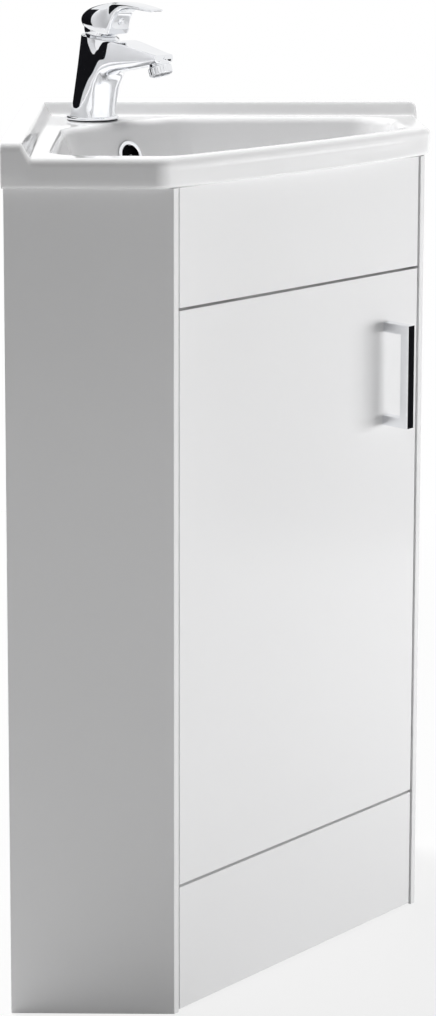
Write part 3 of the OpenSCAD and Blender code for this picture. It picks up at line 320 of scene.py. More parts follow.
def frame_at(place, direction, aside):
    """A frame whose z axis points along a direction, and whose x axis points about aside."""
    z_axis = Vector(direction).normalized()
    x_axis = Vector(aside)
    x_axis = (x_axis - z_axis * x_axis.dot(z_axis)).normalized()
    rotation = Matrix((x_axis, z_axis.cross(x_axis), z_axis)).transposed().to_4x4()
    return Matrix.Translation(place) @ rotation


# ---- Boards: the frame's own boards with eased edges ----

BOARD_EDGE = 0.6 * MM
BOARD_SHORTEST = 20 * MM              # shorter edges stay sharp
HANDLE_EDGE = 0.5 * MM
HANDLE_SHORTEST = 5 * MM
FLAT_ANGLE = math.radians(0.5)        # up to which two faces are one
LEAST_BEND = 0.3                      # radians from which an edge is rounded


def eased_board(node, body, radius=BOARD_EDGE, shortest=BOARD_SHORTEST):
    """A copy of a board whose long outer edges are slightly rounded."""
    bm = bmesh.new()
    bm.from_mesh(NODES[node].data)
    bmesh.ops.remove_doubles(bm, verts=bm.verts, dist=MERGE_DISTANCE)
    bmesh.ops.dissolve_limit(bm, angle_limit=FLAT_ANGLE, verts=bm.verts, edges=bm.edges)
    edges = [e for e in bm.edges if e.is_manifold and e.is_convex and e.calc_length() > shortest
             and e.calc_face_angle() > LEAST_BEND]
    bmesh.ops.bevel(bm, geom=edges, offset=radius, segments=3, profile=0.5, affect="EDGES",
                    clamp_overlap=True)
    mesh = bpy.data.meshes.new(node + "_board")
    bm.to_mesh(mesh)
    bm.free()
    smooth_shaded(mesh, SHARP_ANGLE)
    mesh = applied(mesh, "WEIGHTED_NORMAL", keep_sharp=True, weight=100)
    add_piece(node + "_board", mesh, body, node)


for board in ("side_panel_left", "side_panel_right", "plinth", "fascia"):
    eased_board(board, "cabinet")
eased_board("door_panel", "door")
eased_board("handle", "door", HANDLE_EDGE, HANDLE_SHORTEST)


# ---- Basin ----

BASIN_LEG = 417.0          # length along each wall
SIDE_SLOPE = 4 / 158       # how much further out a side stands, per mm from its wall
BOW_RADIUS = 2400.0
BOW_FRONT = 411.0          # wall corner to the middle of the bowed edge
CORNER_RADIUS = 24.0
BOW_SPAN, BOW_STEP = 6.0, 0.25    # degrees to each side of the bow's middle, and between its tangents
UPSTAND_TOP = 17.0         # width of the level top
UPSTAND_FOOT = 28.0        # distance from the wall at which the slope meets the deck
EDGE_ROUND = 8.0
RIM_FLAT = 2.0             # width to which the front rim's level part narrows
# Crease under the rim's roll: depth under the deck, and how far in it lies there
CREASE = ((18, 0.8), (15, 1.1), (13, 1.5), (11.6, 1.6), (10.4, 1.1), (9.2, 0.3))
CREASE_REACH = 185.0       # half width over which the crease runs, and the length of its fading ends
CREASE_FADE = 60.0
BOWL_SIDE = 392.0
BOWL_FRONT = 399.0
BOWL_STEP = 8.0            # how far the bowl's front comes in more than its other walls, near the rim
BOWL_STEP_IN = 18.0
BOWL_WALL_GAP = 37.0
BOWL_BACK = 138.0
BOWL_DEPTH = 112.0
BOWL_CORNER = 42.0
BOWL_CORNER_LOSS = 0.25    # how much the corners' radius falls, per mm further in
BOWL_DRAFT = 40.0          # how far the wall comes in over the bowl's depth
BOWL_CURVE = 42.0          # how far its curve into the floor comes in
RIM_ROUND = 8.0            # how far the rim's round comes in
WALL_THICKNESS = 9.0
DECK_THICKNESS = 14.0
FOOT_WALL = 22.0           # inset of the hollow underside from the walls, and from the free edges
FOOT_FRONT = 30.0
FOOT_UP = 4.0              # height of the rounded lower edge
DRAIN_OUT = 262.0          # wall corner to the middle of the drain
DRAIN_HOLE = 22.55
DRAIN_SEAT = 32.5
SEAT_DROP = 4.5
BOSS_RADIUS = 38.0
BOSS_HEIGHT = 40.0
TAP_HOLE = 17.5
# Points along the plan: their spacing, and the closer ones over the last mm before an upstand's end
POINT_SPACING = 2.2
CLOSE_SPAN, CLOSE_COUNT = 34, 36
ARC_STEP = 2.5             # degrees between the points of a rounded corner
FAR = 900.0                # beyond every outline
RING_TOLERANCE = 0.02
TINY = 1e-9

deck_mm = deck / MM
top_mm = cabinet_top / MM
rise_mm = (upstand_level - deck) / MM
centre = np.array([DRAIN_OUT / ROOT2, DRAIN_OUT / ROOT2])

side_tilt = math.atan(SIDE_SLOPE)


def free_lines(side, front):
    """Limits of the plan as (outward normal, distance): two sides, and a bow of short tangents."""
    lines = [((-math.sin(side_tilt), math.cos(side_tilt)), side * math.cos(side_tilt)),
             ((math.cos(side_tilt), -math.sin(side_tilt)), side * math.cos(side_tilt))]
    for angle in np.radians(np.arange(-BOW_SPAN, BOW_SPAN + BOW_STEP / 2, BOW_STEP)):
        across, out = math.sin(angle), math.cos(angle)
        lines.append((((out + across) / ROOT2, (out - across) / ROOT2),
                      BOW_RADIUS - (BOW_RADIUS - front) * out))
    return lines


free_planes = free_lines(BASIN_LEG, BOW_FRONT)


def clipped(points, normal, distance):
    """The part of a convex outline on the inner side of a line."""
    kept = []
    for p, q in zip(points, np.roll(points, -1, axis=0)):
        dp, dq = p @ normal - distance, q @ normal - distance
        if dp <= 0:
            kept.append(p)
        if dp * dq < 0:
            kept.append(p + (q - p) * dp / (dp - dq))
    return np.array(kept)


def outline(planes, inset, radius):
    """A convex outline moved in by inset, its corners rounded."""
    points = np.array([[-FAR, -FAR], [FAR, -FAR], [FAR, FAR], [-FAR, FAR]])
    for normal, distance in planes:
        points = clipped(points, np.array(normal), distance - inset - radius)
    edges = np.roll(points, -1, axis=0) - points
    turn = np.arctan2(-edges[:, 0], edges[:, 1])
    rounded = []
    for k, p in enumerate(points):
        start, end = turn[k - 1], turn[k]
        end += 2 * math.pi if end < start - TINY else 0
        for a in np.linspace(start, end, max(2, int(math.degrees(end - start) / ARC_STEP) + 2)):
            rounded.append(p + radius * np.array([math.cos(a), math.sin(a)]))
    return np.array(rounded)


def reach(points):
    """How far a convex outline lies from the drain in each direction."""
    edges = np.roll(points, -1, axis=0) - points
    size = np.linalg.norm(edges, axis=1)
    keep = size > MERGE_DISTANCE
    normals = np.stack([edges[keep, 1], -edges[keep, 0]], 1) / size[keep, None]
    offsets = ((points[keep] - centre) * normals).sum(1)
    facing = directions @ normals.T
    distance = np.where(facing > TINY, offsets[None] / np.maximum(facing, TINY), np.inf)
    return distance.min(1)


def plan_outline(free_inset, wall_inset):
    """The basin's plan: rounded free edges, sharp corners at the walls."""
    rounded = outline(free_planes, free_inset, CORNER_RADIUS - free_inset)
    rounded = clipped(rounded, np.array([-1.0, 0.0]), -wall_inset)
    return clipped(rounded, np.array([0.0, -1.0]), -wall_inset)


BOWL_BACK_LINES = [((-1.0, 0.0), -BOWL_WALL_GAP), ((0.0, -1.0), -BOWL_WALL_GAP),
                   ((-1 / ROOT2, -1 / ROOT2), -BOWL_BACK)]


def bowl_outline(inset):
    """The bowl's plan, moved in by inset."""
    front = BOWL_FRONT - BOWL_STEP * min(1, max(0, inset) / BOWL_STEP_IN)
    lines = free_lines(BOWL_SIDE, front) + BOWL_BACK_LINES
    return outline(lines, inset, BOWL_CORNER - BOWL_CORNER_LOSS * inset)


def spread_directions():
    """Directions from the drain to points spread along the plan, closer near the upstands' ends."""
    points = plan_outline(0, 0)
    spread = []
    for p, q in zip(points, np.roll(points, -1, axis=0)):
        span = np.linalg.norm(q - p)
        touches_wall = min(abs(p[0]), abs(p[1]), abs(q[0]), abs(q[1])) < 1
        is_side = touches_wall and min(max(p), max(q)) > BASIN_LEG - EDGE_ROUND
        if is_side:
            close = CLOSE_SPAN / span
            wide_count = int((span - CLOSE_SPAN) / POINT_SPACING)
            steps = np.concatenate([np.linspace(0, close, CLOSE_COUNT)[:-1],
                                    np.linspace(close, 1, wide_count)[:-1]])
            starts_at_wall = min(p) <= 1
            if not starts_at_wall:
                steps = np.sort(1 - steps)
                steps = np.concatenate([[0], steps[steps < 1]])
        else:
            steps = np.linspace(0, 1, max(1, int(span / POINT_SPACING)) + 1)[:-1]
        spread += [p + (q - p) * t for t in steps]
    away = np.array(spread) - centre
    return away / np.linalg.norm(away, axis=1)[:, None]


directions = spread_directions()


def at(distance):
    """Places in the plan at distances from the drain, one in each direction."""
    return centre + directions * np.asarray(distance)[:, None]


def base_height(points):
    """Height of the deck and the wall upstands over a place in the plan."""
    off_wall = points.min(1)
    t = np.clip((off_wall - UPSTAND_TOP) / (UPSTAND_FOOT - UPSTAND_TOP), 0, 1)
    return deck_mm + rise_mm * (1 + np.cos(math.pi * t)) / 2


def free_inset(inset):
    """A ring's distance from the free edges: past their round, the rings crowd on the narrow rim."""
    spare = RIM_FLAT * (inset - EDGE_ROUND) / (UPSTAND_FOOT - EDGE_ROUND)
    return inset if inset < EDGE_ROUND else EDGE_ROUND + spare


def free_distance(points, inset):
    """Distance from the free edges: the ring's own, or the side's line where a ring follows a wall."""
    sides = np.min([d - points @ np.array(n) for n, d in free_planes], axis=0)
    follows_edge = points.min(1) > inset + RING_TOLERANCE
    return np.where(follows_edge, free_inset(inset), sides)


def edge_drop(distance):
    """How far the rounded free edge lies under the level, at a distance from the edge."""
    e = np.clip(distance, 0, EDGE_ROUND)
    return EDGE_ROUND - np.sqrt(np.maximum(EDGE_ROUND ** 2 - (EDGE_ROUND - e) ** 2, 0))


def ring(distance, height):
    """Points (x, y, height) at distances from the drain."""
    points = at(distance)
    return np.column_stack([points, np.broadcast_to(height, len(points))])


def top_ring(inset):
    """A ring of the top side, at an inset from the plan's edge."""
    distance = reach(plan_outline(free_inset(inset), inset))
    points = at(distance)
    return ring(distance, base_height(points) - edge_drop(free_distance(points, inset)))


def basin_rings():
    """The basin's section as rings: outer face, top side, bowl, drain, and back along the underside."""
    outer = reach(plan_outline(0, 0))
    edge = at(outer)
    off_walls = edge.min(1) > 0.5
    face_top = top_ring(0)[:, 2]
    across = np.abs(edge[:, 0] - edge[:, 1]) / ROOT2
    creased = np.clip((CREASE_REACH - across) / CREASE_FADE, 0, 1) * off_walls
    rings = [ring(reach(plan_outline(inset, 0)), top_mm + FOOT_UP - down)
             for inset, down in ((4, FOOT_UP), (2, 3.5), (0.5, 2))]
    rings.append(ring(outer - CREASE[0][1] * creased, top_mm + FOOT_UP))
    rings += [ring(outer - inward * creased, face_top - (depth - EDGE_ROUND)) for depth, inward in CREASE]
    rings += [top_ring(inset) for inset in (0, 0.25, 0.9, 1.9, 3.2, 4.7, 6.3, 8, 10.5, 13.5, 17)]
    slope = np.linspace(UPSTAND_TOP, UPSTAND_FOOT, 10)[1:]
    rings += [top_ring(inset) for inset in slope]
    deck_edge = reach(plan_outline(free_inset(UPSTAND_FOOT), UPSTAND_FOOT))
    rim = reach(bowl_outline(0))
    rings += [ring(deck_edge + (rim - deck_edge) * t, deck_mm) for t in (0.35, 0.7, 1)]

    # Rim: an arc that meets the drafted wall
    tilt = math.atan(BOWL_DRAFT / BOWL_DEPTH)
    turn = math.pi / 2 - tilt
    rim_radius = RIM_ROUND / (math.sin(turn) - math.tan(tilt) * (1 - math.cos(turn)))
    for t in np.linspace(0, 1, 8)[1:]:
        a = turn * t
        rings.append(ring(reach(bowl_outline(rim_radius * math.sin(a))),
                          deck_mm - rim_radius * (1 - math.cos(a))))

    def wall_inset(t):
        return RIM_ROUND + BOWL_DRAFT * t + BOWL_CURVE * (1 - math.sqrt(1 - t ** 4))

    # Bowl: its wall, its floor, and the seat and the boss round the drain; t is the share of the depth
    for t in (0.14, 0.24, 0.34, 0.44, 0.54, 0.63, 0.71, 0.78, 0.84, 0.89, 0.93, 0.96, 0.98, 0.993, 1):
        rings.append(ring(reach(bowl_outline(wall_inset(t))), deck_mm - BOWL_DEPTH * t))
    floor = deck_mm - BOWL_DEPTH
    bottom = reach(bowl_outline(wall_inset(1)))
    seat = np.full(len(directions), DRAIN_SEAT)
    for t in (0.4, 0.8):
        rings.append(ring(bottom + (seat - bottom) * t, floor - 0.2 * t))
    for radius, height in ((DRAIN_SEAT + 1.5, -0.3), (DRAIN_SEAT + 0.4, -0.8), (DRAIN_SEAT, -1.6),
                           (DRAIN_SEAT, -SEAT_DROP), (DRAIN_HOLE, -SEAT_DROP),
                           (DRAIN_HOLE, -BOSS_HEIGHT), (BOSS_RADIUS - 1, -BOSS_HEIGHT),
                           (BOSS_RADIUS, -BOSS_HEIGHT + 1), (BOSS_RADIUS, -WALL_THICKNESS)):
        rings.append(ring(np.full(len(directions), radius), floor + height))

    # Underside, a wall's thickness behind the bowl, and out under the deck
    for t in (1, 0.96, 0.9, 0.8, 0.65, 0.45, 0.25, DECK_THICKNESS / (BOWL_DEPTH + WALL_THICKNESS)):
        rings.append(ring(reach(bowl_outline(wall_inset(t) - WALL_THICKNESS)),
                          deck_mm - t * (BOWL_DEPTH + WALL_THICKNESS)))
    foot = outline(free_planes, FOOT_FRONT, 2)
    foot = clipped(foot, np.array([-1.0, 0.0]), -FOOT_WALL)
    foot = reach(clipped(foot, np.array([0.0, -1.0]), -FOOT_WALL))
    rings += [ring(foot, deck_mm - DECK_THICKNESS), ring(foot, top_mm)]
    return rings


def basin_mesh():
    rings = basin_rings()
    verts = [room(*p) for r in rings for p in r]
    return mesh_of("basin_shell", verts, grid_faces(len(rings), len(directions), closed_rows=True))


# Overflow: a hole in the bowl's back wall, and the duct behind it
OVERFLOW_DROP = 34.0       # deck to the middle of the hole
OVERFLOW_HOLE = 13.0
DUCT_WALL = 5.0
DUCT_HALF = 12.0
DUCT_TOP = 12.0            # from the hole's middle
DUCT_BEHIND = 26.0         # from the bowl's wall to the duct's back, at the hole

overflow_out = BOWL_BACK + RIM_ROUND + BOWL_DRAFT * OVERFLOW_DROP / BOWL_DEPTH
overflow_up = deck_mm - OVERFLOW_DROP
overflow_tilt = math.atan(BOWL_DRAFT / BOWL_DEPTH)
overflow_axis = Vector((math.cos(overflow_tilt) / ROOT2, -math.cos(overflow_tilt) / ROOT2,
                        math.sin(overflow_tilt)))
overflow_place = diagonal(0, overflow_out, overflow_up)
overflow_frame = frame_at(overflow_place, overflow_axis, (1, 1, 0))

bowl_floor = deck_mm - BOWL_DEPTH
duct_front = overflow_out - WALL_THICKNESS - BOWL_DRAFT * DUCT_TOP / BOWL_DEPTH
# Side view of the duct, down to the drain: distance from the wall corner, height
duct_form = [Vector(p) for p in (
    (overflow_out - DUCT_BEHIND, overflow_up + DUCT_TOP), (duct_front, overflow_up + DUCT_TOP),
    (overflow_out + 8, bowl_floor + 14), (DRAIN_OUT - 20, bowl_floor - 17),
    (DRAIN_OUT - 20, bowl_floor - 30), (overflow_out - 8, bowl_floor + 4))]


def grown(form, wall):
    """A clockwise outline moved out by wall, its corners kept sharp."""
    result = []
    for k, p in enumerate(form):
        before, after = (p - form[k - 1]).normalized(), (form[(k + 1) % len(form)] - p).normalized()
        bisector = Vector((-before.y - after.y, before.x + after.x))
        result.append(p + bisector * (2 * wall / bisector.length_squared))
    return result


def duct_mesh(wall):
    """The duct as a solid, wall thicker all round, which ends inside the drain's boss."""
    form = grown(duct_form, wall)
    if wall:
        drain_bore = DRAIN_OUT - DRAIN_HOLE
        form = [Vector((min(p.x, drain_bore - 2), p.y)) for p in form]
    verts = [diagonal(side * (DUCT_HALF + wall), *p) for side in (-1, 1) for p in form]
    faces = grid_faces(2, len(form)) + [tuple(range(len(form))), tuple(range(len(form), 2 * len(form)))]
    return mesh_of("duct", verts, faces)


basin_shell = combined(basin_mesh(), duct_mesh(DUCT_WALL), "UNION")
basin_shell = combined(basin_shell, duct_mesh(0), "DIFFERENCE")
basin_shell = bored(basin_shell, OVERFLOW_HOLE, overflow_frame, 14)
basin_shell = bored(basin_shell, TAP_HOLE, Matrix.Translation(tap_place(0, 0, 0)), 40)
add_piece("basin_shell", basin_shell, "cabinet", "basin", sharp=55)


# Painted shade: a near-black colour on the white glaze that stands in for the unlit inside of the overflow's
# channel
CHANNEL_PAINTED_SHADE = (0.02, 0.02, 0.021, 1)
CHANNEL_START = 8.0        # behind the bowl's wall
CHANNEL_MARGIN = 0.4


def paint_channel_shade(material):
    """Paints shade into the glaze inside the overflow's channel, between planes just past its inner faces.
    """
    tree = material.node_tree
    coords = tree.nodes.new("ShaderNodeTexCoord")
    across = Vector((1, 1, 0)) / ROOT2
    upright = Vector((0, 0, 1))
    top, low = diagonal(0, *duct_form[0]), diagonal(0, *duct_form[5])
    back = across.cross(low - top).normalized()    # points out of the duct's back
    planes = [(across, diagonal(DUCT_HALF + CHANNEL_MARGIN, 0, 0)),
              (-across, diagonal(-DUCT_HALF - CHANNEL_MARGIN, 0, 0)),
              (overflow_axis, overflow_place - overflow_axis * CHANNEL_START * MM),
              (back, top + back * CHANNEL_MARGIN * MM), (upright, top + upright * CHANNEL_MARGIN * MM)]
    inside = 1.0
    for normal, place in planes:
        along = tree.nodes.new("ShaderNodeVectorMath")
        along.operation = "DOT_PRODUCT"
        along.inputs[1].default_value = normal
        tree.links.new(coords.outputs["Object"], along.inputs[0])
        behind = add_math(tree, "LESS_THAN", along.outputs["Value"], normal.dot(place))
        inside = add_math(tree, "MULTIPLY", inside, behind)
    base = tree.nodes["Principled BSDF"].inputs["Base Color"]
    mix = tree.nodes.new("ShaderNodeMix")
    mix.data_type = "RGBA"
    mix.inputs["B"].default_value = CHANNEL_PAINTED_SHADE
    tree.links.new(base.links[0].from_socket, mix.inputs["A"])
    tree.links.new(inside, mix.inputs["Factor"])
    tree.links.new(mix.outputs["Result"], base)


paint_channel_shade(FINISHES["glazed_white"])

ring_out = OVERFLOW_HOLE + 3
ring_in = OVERFLOW_HOLE - 1.2
sleeve_out = OVERFLOW_HOLE - 0.1
overflow_profile = [(ring_in, -9), (sleeve_out, -9), (sleeve_out, 0.6), (ring_out, 0.6), (ring_out, 2.4),
                    (ring_in + 1, 2.9), (ring_in, 2)]
add_piece("overflow_trim", lathe("overflow_trim", eased(overflow_profile, 0.8), overflow_frame, closed=True),
          "cabinet", "overflow_ring")


# ---- Tap ----

LEAN = math.radians(8.5)
RIM_HEIGHT = 88.0
HEAD_LEAN = math.radians(10)
BALL_UP = 10.0
SMOOTH_LEVELS = 3
SMOOTH_LOSS = 0.9553    # how far subdivision draws a twelve-sided ring in

head_turn = Matrix.Rotation(HEAD_LEAN, 3, "Y")
head_origin = Vector((RIM_HEIGHT * math.tan(LEAN), 0, RIM_HEIGHT))


def tap_frame(place=(0, 0, 0), tilt=0.0):
    """A frame at a place of the tap, its z axis tipped by tilt towards the spout."""
    turn = Matrix.Rotation(-math.pi / 4, 4, "Z") @ Matrix.Rotation(tilt, 4, "Y")
    return Matrix.Translation(tap_place(*place)) @ turn


def section_ring(x, half, right):
    """A ring across the tap, from its right half as (share of the half width, height)."""
    left = [(-share, z) for share, z in reversed(right)]
    return [Vector((x, half * share, z)) for share, z in left[-2:] + right + left[:-2]]


def pairs_round(loop):
    """Each item with the next, and the last with the first."""
    return zip(loop, loop[1:] + loop[:1])


def loop_faces(loop, other):
    """Quads between two loops of the same length."""
    return [(p, q, s, r) for (p, q), (r, s) in zip(pairs_round(loop), pairs_round(other))]


def crease_loop(creases, loop, sharpness):
    for pair in pairs_round(loop):
        creases[frozenset(pair)] = sharpness


def smooth_cage(name, verts, faces, creases):
    """A subdivision surface over a cage given in the tap's mm; creases maps edges to sharpness."""
    mesh = mesh_of(name, [tap_place(*v) for v in verts], faces)
    layer = mesh.attributes.new("crease_edge", "FLOAT", "EDGE")
    for edge in mesh.edges:
        layer.data[edge.index].value = creases.get(frozenset(edge.vertices), 0)
    return applied(mesh, "SUBSURF", levels=SMOOTH_LEVELS, render_levels=SMOOTH_LEVELS)


RING = 12               # points in each ring of a cage
RECESS_RADIUS = 18.8
RECESS_DEPTH = 9
# Height along the leaning axis and radius of the body
BODY_ROWS = [(3, 23.9), (4.4, 23.8), (12, 22.8), (24, 22.1), (35, 21.7), (44, 21.3), (56, 20.9),
             (68, 20.6), (79, 20.4), (86, 20.3), (89, 20.3)]
SPOUT_LOW, SPOUT_HIGH = 5, 8    # rows between which the spout leaves the body
# Reach, top, underside, half width of the spout
SPOUT_SECTIONS = [(33, 84, 47.5, 20.8), (43, 85.5, 51.8, 20.5), (52, 84.6, 53.8, 19.5),
                  (62, 82.8, 55.4, 18.1), (75, 80.1, 57.8, 16.3), (88, 77.2, 60.7, 14.8),
                  (98, 75.3, 63, 13.7), (104.5, 74.2, 64.4, 13), (107, 73.8, 65, 12.7)]
END_BULGE = 2.0
END_SHARE = 0.31                # half width of the end face's middle quad, as a share of the end's
# Front columns of the body where its sides run straight into the spout's: degrees to shares of the radius
SQUARED = {15: (1.02, 0.3), 45: (0.88, 0.99), 75: (0.3, 1.0)}
# Height from which they do, the rise over which they do so in full, and the fall at the rim
SQUARED_FROM, SQUARED_RISE, SQUARED_FALL = 14, 36, 10


def squareness(t):
    """Share by which the body's front half takes on the spout's straight sides, at a height."""
    return max(0, min(1, (t - SQUARED_FROM) / SQUARED_RISE, (RIM_HEIGHT - t) / SQUARED_FALL))


def body_cage():
    """Points, faces and creases of the body: a leaning column, the spout, its end, and the recess on top."""
    verts, faces, creases = [], [], {}
    rows = len(BODY_ROWS)
    for t, radius in BODY_ROWS:
        # A row lies level at the foot, square to the leaning axis in the middle, and as the head at the rim
        tilt = LEAN * min(1, t / 30) + (HEAD_LEAN - LEAN) * max(0, (t - 50) / 40)
        middle = Vector((math.sin(LEAN) * t, 0, math.cos(LEAN) * t))
        for k in range(RING):
            degrees = 15 + 30 * k if k < 6 else 30 * k - 345
            turn = math.radians(degrees)
            out = radius / SMOOTH_LOSS
            offset = Vector((out * math.cos(turn), out * math.sin(turn), 0))
            if abs(degrees) in SQUARED:
                ahead_share, side_share = SQUARED[abs(degrees)]
                squared = Vector((out * ahead_share, out * math.copysign(side_share, degrees), 0))
                offset = offset.lerp(squared, squareness(t))
            verts.append(middle + Matrix.Rotation(tilt, 3, "Y") @ offset)

    def index(row, column):
        return row * RING + column % RING

    front = [-2, -1, 0, 1]    # columns at -45, -15, 15 and 45 degrees
    for row in range(rows - 1):
        for k in range(RING):
            opening = SPOUT_LOW <= row < SPOUT_HIGH and k in (10, 11, 0)
            if not opening:
                faces.append((index(row, k), index(row, k + 1), index(row + 1, k + 1), index(row + 1, k)))
    border = [index(SPOUT_LOW, k) for k in front]
    border += [index(row, 1) for row in range(SPOUT_LOW + 1, SPOUT_HIGH)]
    border += [index(SPOUT_HIGH, k) for k in reversed(front)]
    border += [index(row, -2) for row in range(SPOUT_HIGH - 1, SPOUT_LOW, -1)]
    previous = border
    for n, (x, top, low, half) in enumerate(SPOUT_SECTIONS):
        height = top - low
        current = list(range(len(verts), len(verts) + RING))
        verts += section_ring(x, half, [(0.3, low), (0.8, low + height * 0.06),
                                        (1.02, low + height * 0.36), (1.02, low + height * 0.7),
                                        (0.93, top), (0.31, top)])
        faces += loop_faces(previous, current)
        sharp = 0.85 if n else 0.4
        for k in (6, 9):
            creases[frozenset((previous[k], current[k]))] = sharp
        previous = current
    # End face: a grid of quads over the last ring
    inner = []
    for side in (-1, 1):
        for level in (4, 5):
            a, b = verts[previous[level]], verts[previous[15 - level]]
            verts.append(a + (b - a) * (0.5 - END_SHARE * side) + Vector((END_BULGE, 0, 0)))
            inner.append(len(verts) - 1)
    p = previous
    lower_left, upper_left, lower_right, upper_right = inner[2], inner[3], inner[0], inner[1]
    faces += [(p[0], p[1], lower_left, p[11]), (p[1], p[2], lower_right, lower_left),
              (p[2], p[3], p[4], lower_right), (p[11], lower_left, upper_left, p[10]),
              (lower_left, lower_right, upper_right, upper_left), (lower_right, p[4], p[5], upper_right),
              (p[10], upper_left, p[8], p[9]), (upper_left, upper_right, p[7], p[8]),
              (upper_right, p[5], p[6], p[7])]
    crease_loop(creases, p, 0.75)
    # Foot closed flat; at the rim the wall turns in and down to a closed floor
    foot = [index(0, k) for k in range(RING)]
    faces.append(tuple(reversed(foot)))
    last = [index(rows - 1, k) for k in range(RING)]
    rim = Vector((math.sin(LEAN), 0, math.cos(LEAN))) * BODY_ROWS[-1][0]
    out = RECESS_RADIUS / SMOOTH_LOSS
    for drop in (0, RECESS_DEPTH):
        loop = list(range(len(verts), len(verts) + RING))
        for k in range(RING):
            a = math.radians(15 + 30 * k)
            verts.append(rim + head_turn @ Vector((out * math.cos(a), out * math.sin(a), -drop)))
        faces += loop_faces(last, loop)
        crease_loop(creases, last, 0.9)
        last = loop
    faces.append(tuple(last))
    crease_loop(creases, foot, 1.0)
    crease_loop(creases, last, 1.0)
    return verts, faces, creases


add_piece("tap_casting", smooth_cage("tap_casting", *body_cage()), "cabinet", "tap_body", sharp=50)

base_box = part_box("tap_base_ring")
base_low, base_high = ((corner.z - deck) / MM for corner in base_box)
base_radius = (base_box[1].x - base_box[0].x) / 2 / MM
base_profile = [(TAP_HOLE, base_low), (base_radius - 0.5, base_low), (base_radius, base_low + 0.5),
                (base_radius, base_high - 1.4), (base_radius - 1.4, base_high), (TAP_HOLE, base_high)]
add_piece("tap_base_trim", lathe("tap_base_trim", eased(base_profile, 0.7), tap_frame(), closed=True),
          "cabinet", "tap_base_ring")

# Neck: the ball on which the cap sits, with a skirt down over the cartridge's nut
NECK_BALL = 18.3
NECK_TOP, NECK_LOW = 14.0, 0.8
NECK_WALL = 1.2
SKIRT_RADIUS = RECESS_RADIUS - 0.3
neck_side = [(math.sqrt(NECK_BALL ** 2 - (z - BALL_UP) ** 2), z)
             for z in np.linspace(NECK_TOP, NECK_LOW, 14)]
neck_profile = neck_side + [(SKIRT_RADIUS, -0.4), (SKIRT_RADIUS, -6), (17.7, -6)]
neck_profile += [(r - NECK_WALL, z) for r, z in reversed(neck_side)]
head_frame = tap_frame(tuple(head_origin), HEAD_LEAN)
add_piece("neck_trim", lathe("neck_trim", neck_profile, head_frame, closed=True), "cabinet", "neck_cover")

# Reach, top, underside, half width of the lever with its cap
LEVER_SECTIONS = [
    (-7.4, 105.5, 101.8, 6), (-5.4, 110, 101.6, 10), (0, 113.9, 100.2, 15.6), (8, 117.8, 97.6, 20),
    (16, 120.5, 95.8, 22), (24, 122.4, 94, 21.8), (31, 123.8, 92.6, 19.8), (36.5, 124.6, 91.4, 17.2),
    (40, 125, 91, 15.6), (42.5, 125.3, 102, 14.8), (46, 125.5, 110, 14.2), (52, 125.5, 116.5, 13.4),
    (62, 125, 119.2, 12.2), (76, 123.4, 118.6, 11.2), (90, 121, 117.2, 10), (96, 120, 116.8, 9),
    (98, 119.5, 117, 7.6)]
CAP_SECTIONS = 9        # of these, which belong to the cap
CAP_LEAST = 9           # height from which a section is full-sided
CAP_LOW_AT, CAP_LOW, CAP_SLOPE = 40, 91, 0.215    # reach and height of the cap's lowest edge, and its rise


def lever_cage():
    """Points, faces and creases of the lever with its cap."""
    verts, faces, creases = [], [], {}
    count = len(LEVER_SECTIONS)
    for x, top, low, half in LEVER_SECTIONS:
        height = top - low
        side, shoulder = (1.0, 0.72) if height > CAP_LEAST else (1.03, 0.86)
        verts += section_ring(x, half, [(0.3, low), (0.86, low), (side, low + height * 0.22),
                                        (side, low + height * 0.62), (shoulder, low + height * 0.97),
                                        (0.26, top + 0.2)])
    faces += grid_faces(count, RING)
    last = (count - 1) * RING
    faces += [tuple(range(RING)), tuple(reversed(range(last, last + RING)))]
    for n in range(count - 1):
        for k in (0, 3):
            creases[frozenset((n * RING + k, (n + 1) * RING + k))] = 0.8 if n < CAP_SECTIONS else 0.5
    return verts, faces, creases


lever_shell = smooth_cage("lever_shell", *lever_cage())
ball_middle = head_origin + head_turn @ Vector((0, 0, BALL_UP))
HOLLOW_GAP = 0.6
hollow = bpy.data.meshes.new("hollow")
bm = bmesh.new()
bmesh.ops.create_uvsphere(bm, u_segments=64, v_segments=40, radius=(NECK_BALL + HOLLOW_GAP) * MM)
bm.transform(tap_frame(tuple(ball_middle)))
bm.to_mesh(hollow)
bm.free()
lever_shell = combined(lever_shell, hollow, "DIFFERENCE")


def low_edge(x):
    """Height of the cap's lower edge at a reach."""
    return CAP_LOW + CAP_SLOPE * (CAP_LOW_AT - x)


# Band: its lower and upper edge over the cap's, how far it stands out of and goes into the shell, and
# the degrees to each side and between its points
BAND_LOW, BAND_HIGH = 0.9, 5.0
BAND_PROUD, BAND_DEEP = 0.7, 1.2
BAND_SPAN, BAND_STEP = 78, 3
CAP_REACH = 24          # middle of the ball to the front of the cap
CLEAR_OUTSIDE = 60      # farther from the ball than any part of the cap


def cap_band(shell):
    """A raised band round the front of the cap's lower edge, laid on the shell's own surface."""
    tree = surface_tree(shell)
    verts = []
    for angle in range(-BAND_SPAN, BAND_SPAN + 1, BAND_STEP):
        ahead, aside = math.cos(math.radians(angle)), math.sin(math.radians(angle))
        for up, steps in ((BAND_LOW, (-BAND_DEEP, BAND_PROUD)), (BAND_HIGH, (BAND_PROUD, -BAND_DEEP))):
            level = low_edge(ball_middle.x + CAP_REACH * ahead) + up
            start = tap_place(ball_middle.x + CLEAR_OUTSIDE * ahead, CLEAR_OUTSIDE * aside, level)
            inward = (tap_place(ball_middle.x, 0, level) - start).normalized()
            hit = tree.ray_cast(start, inward)[0]
            verts += [hit - inward * step * MM for step in steps]
    count = len(verts) // 4
    faces = grid_faces(count, 4) + [(0, 1, 2, 3), tuple(range(4 * count - 4, 4 * count))]
    return mesh_of("cap_band", verts, faces)


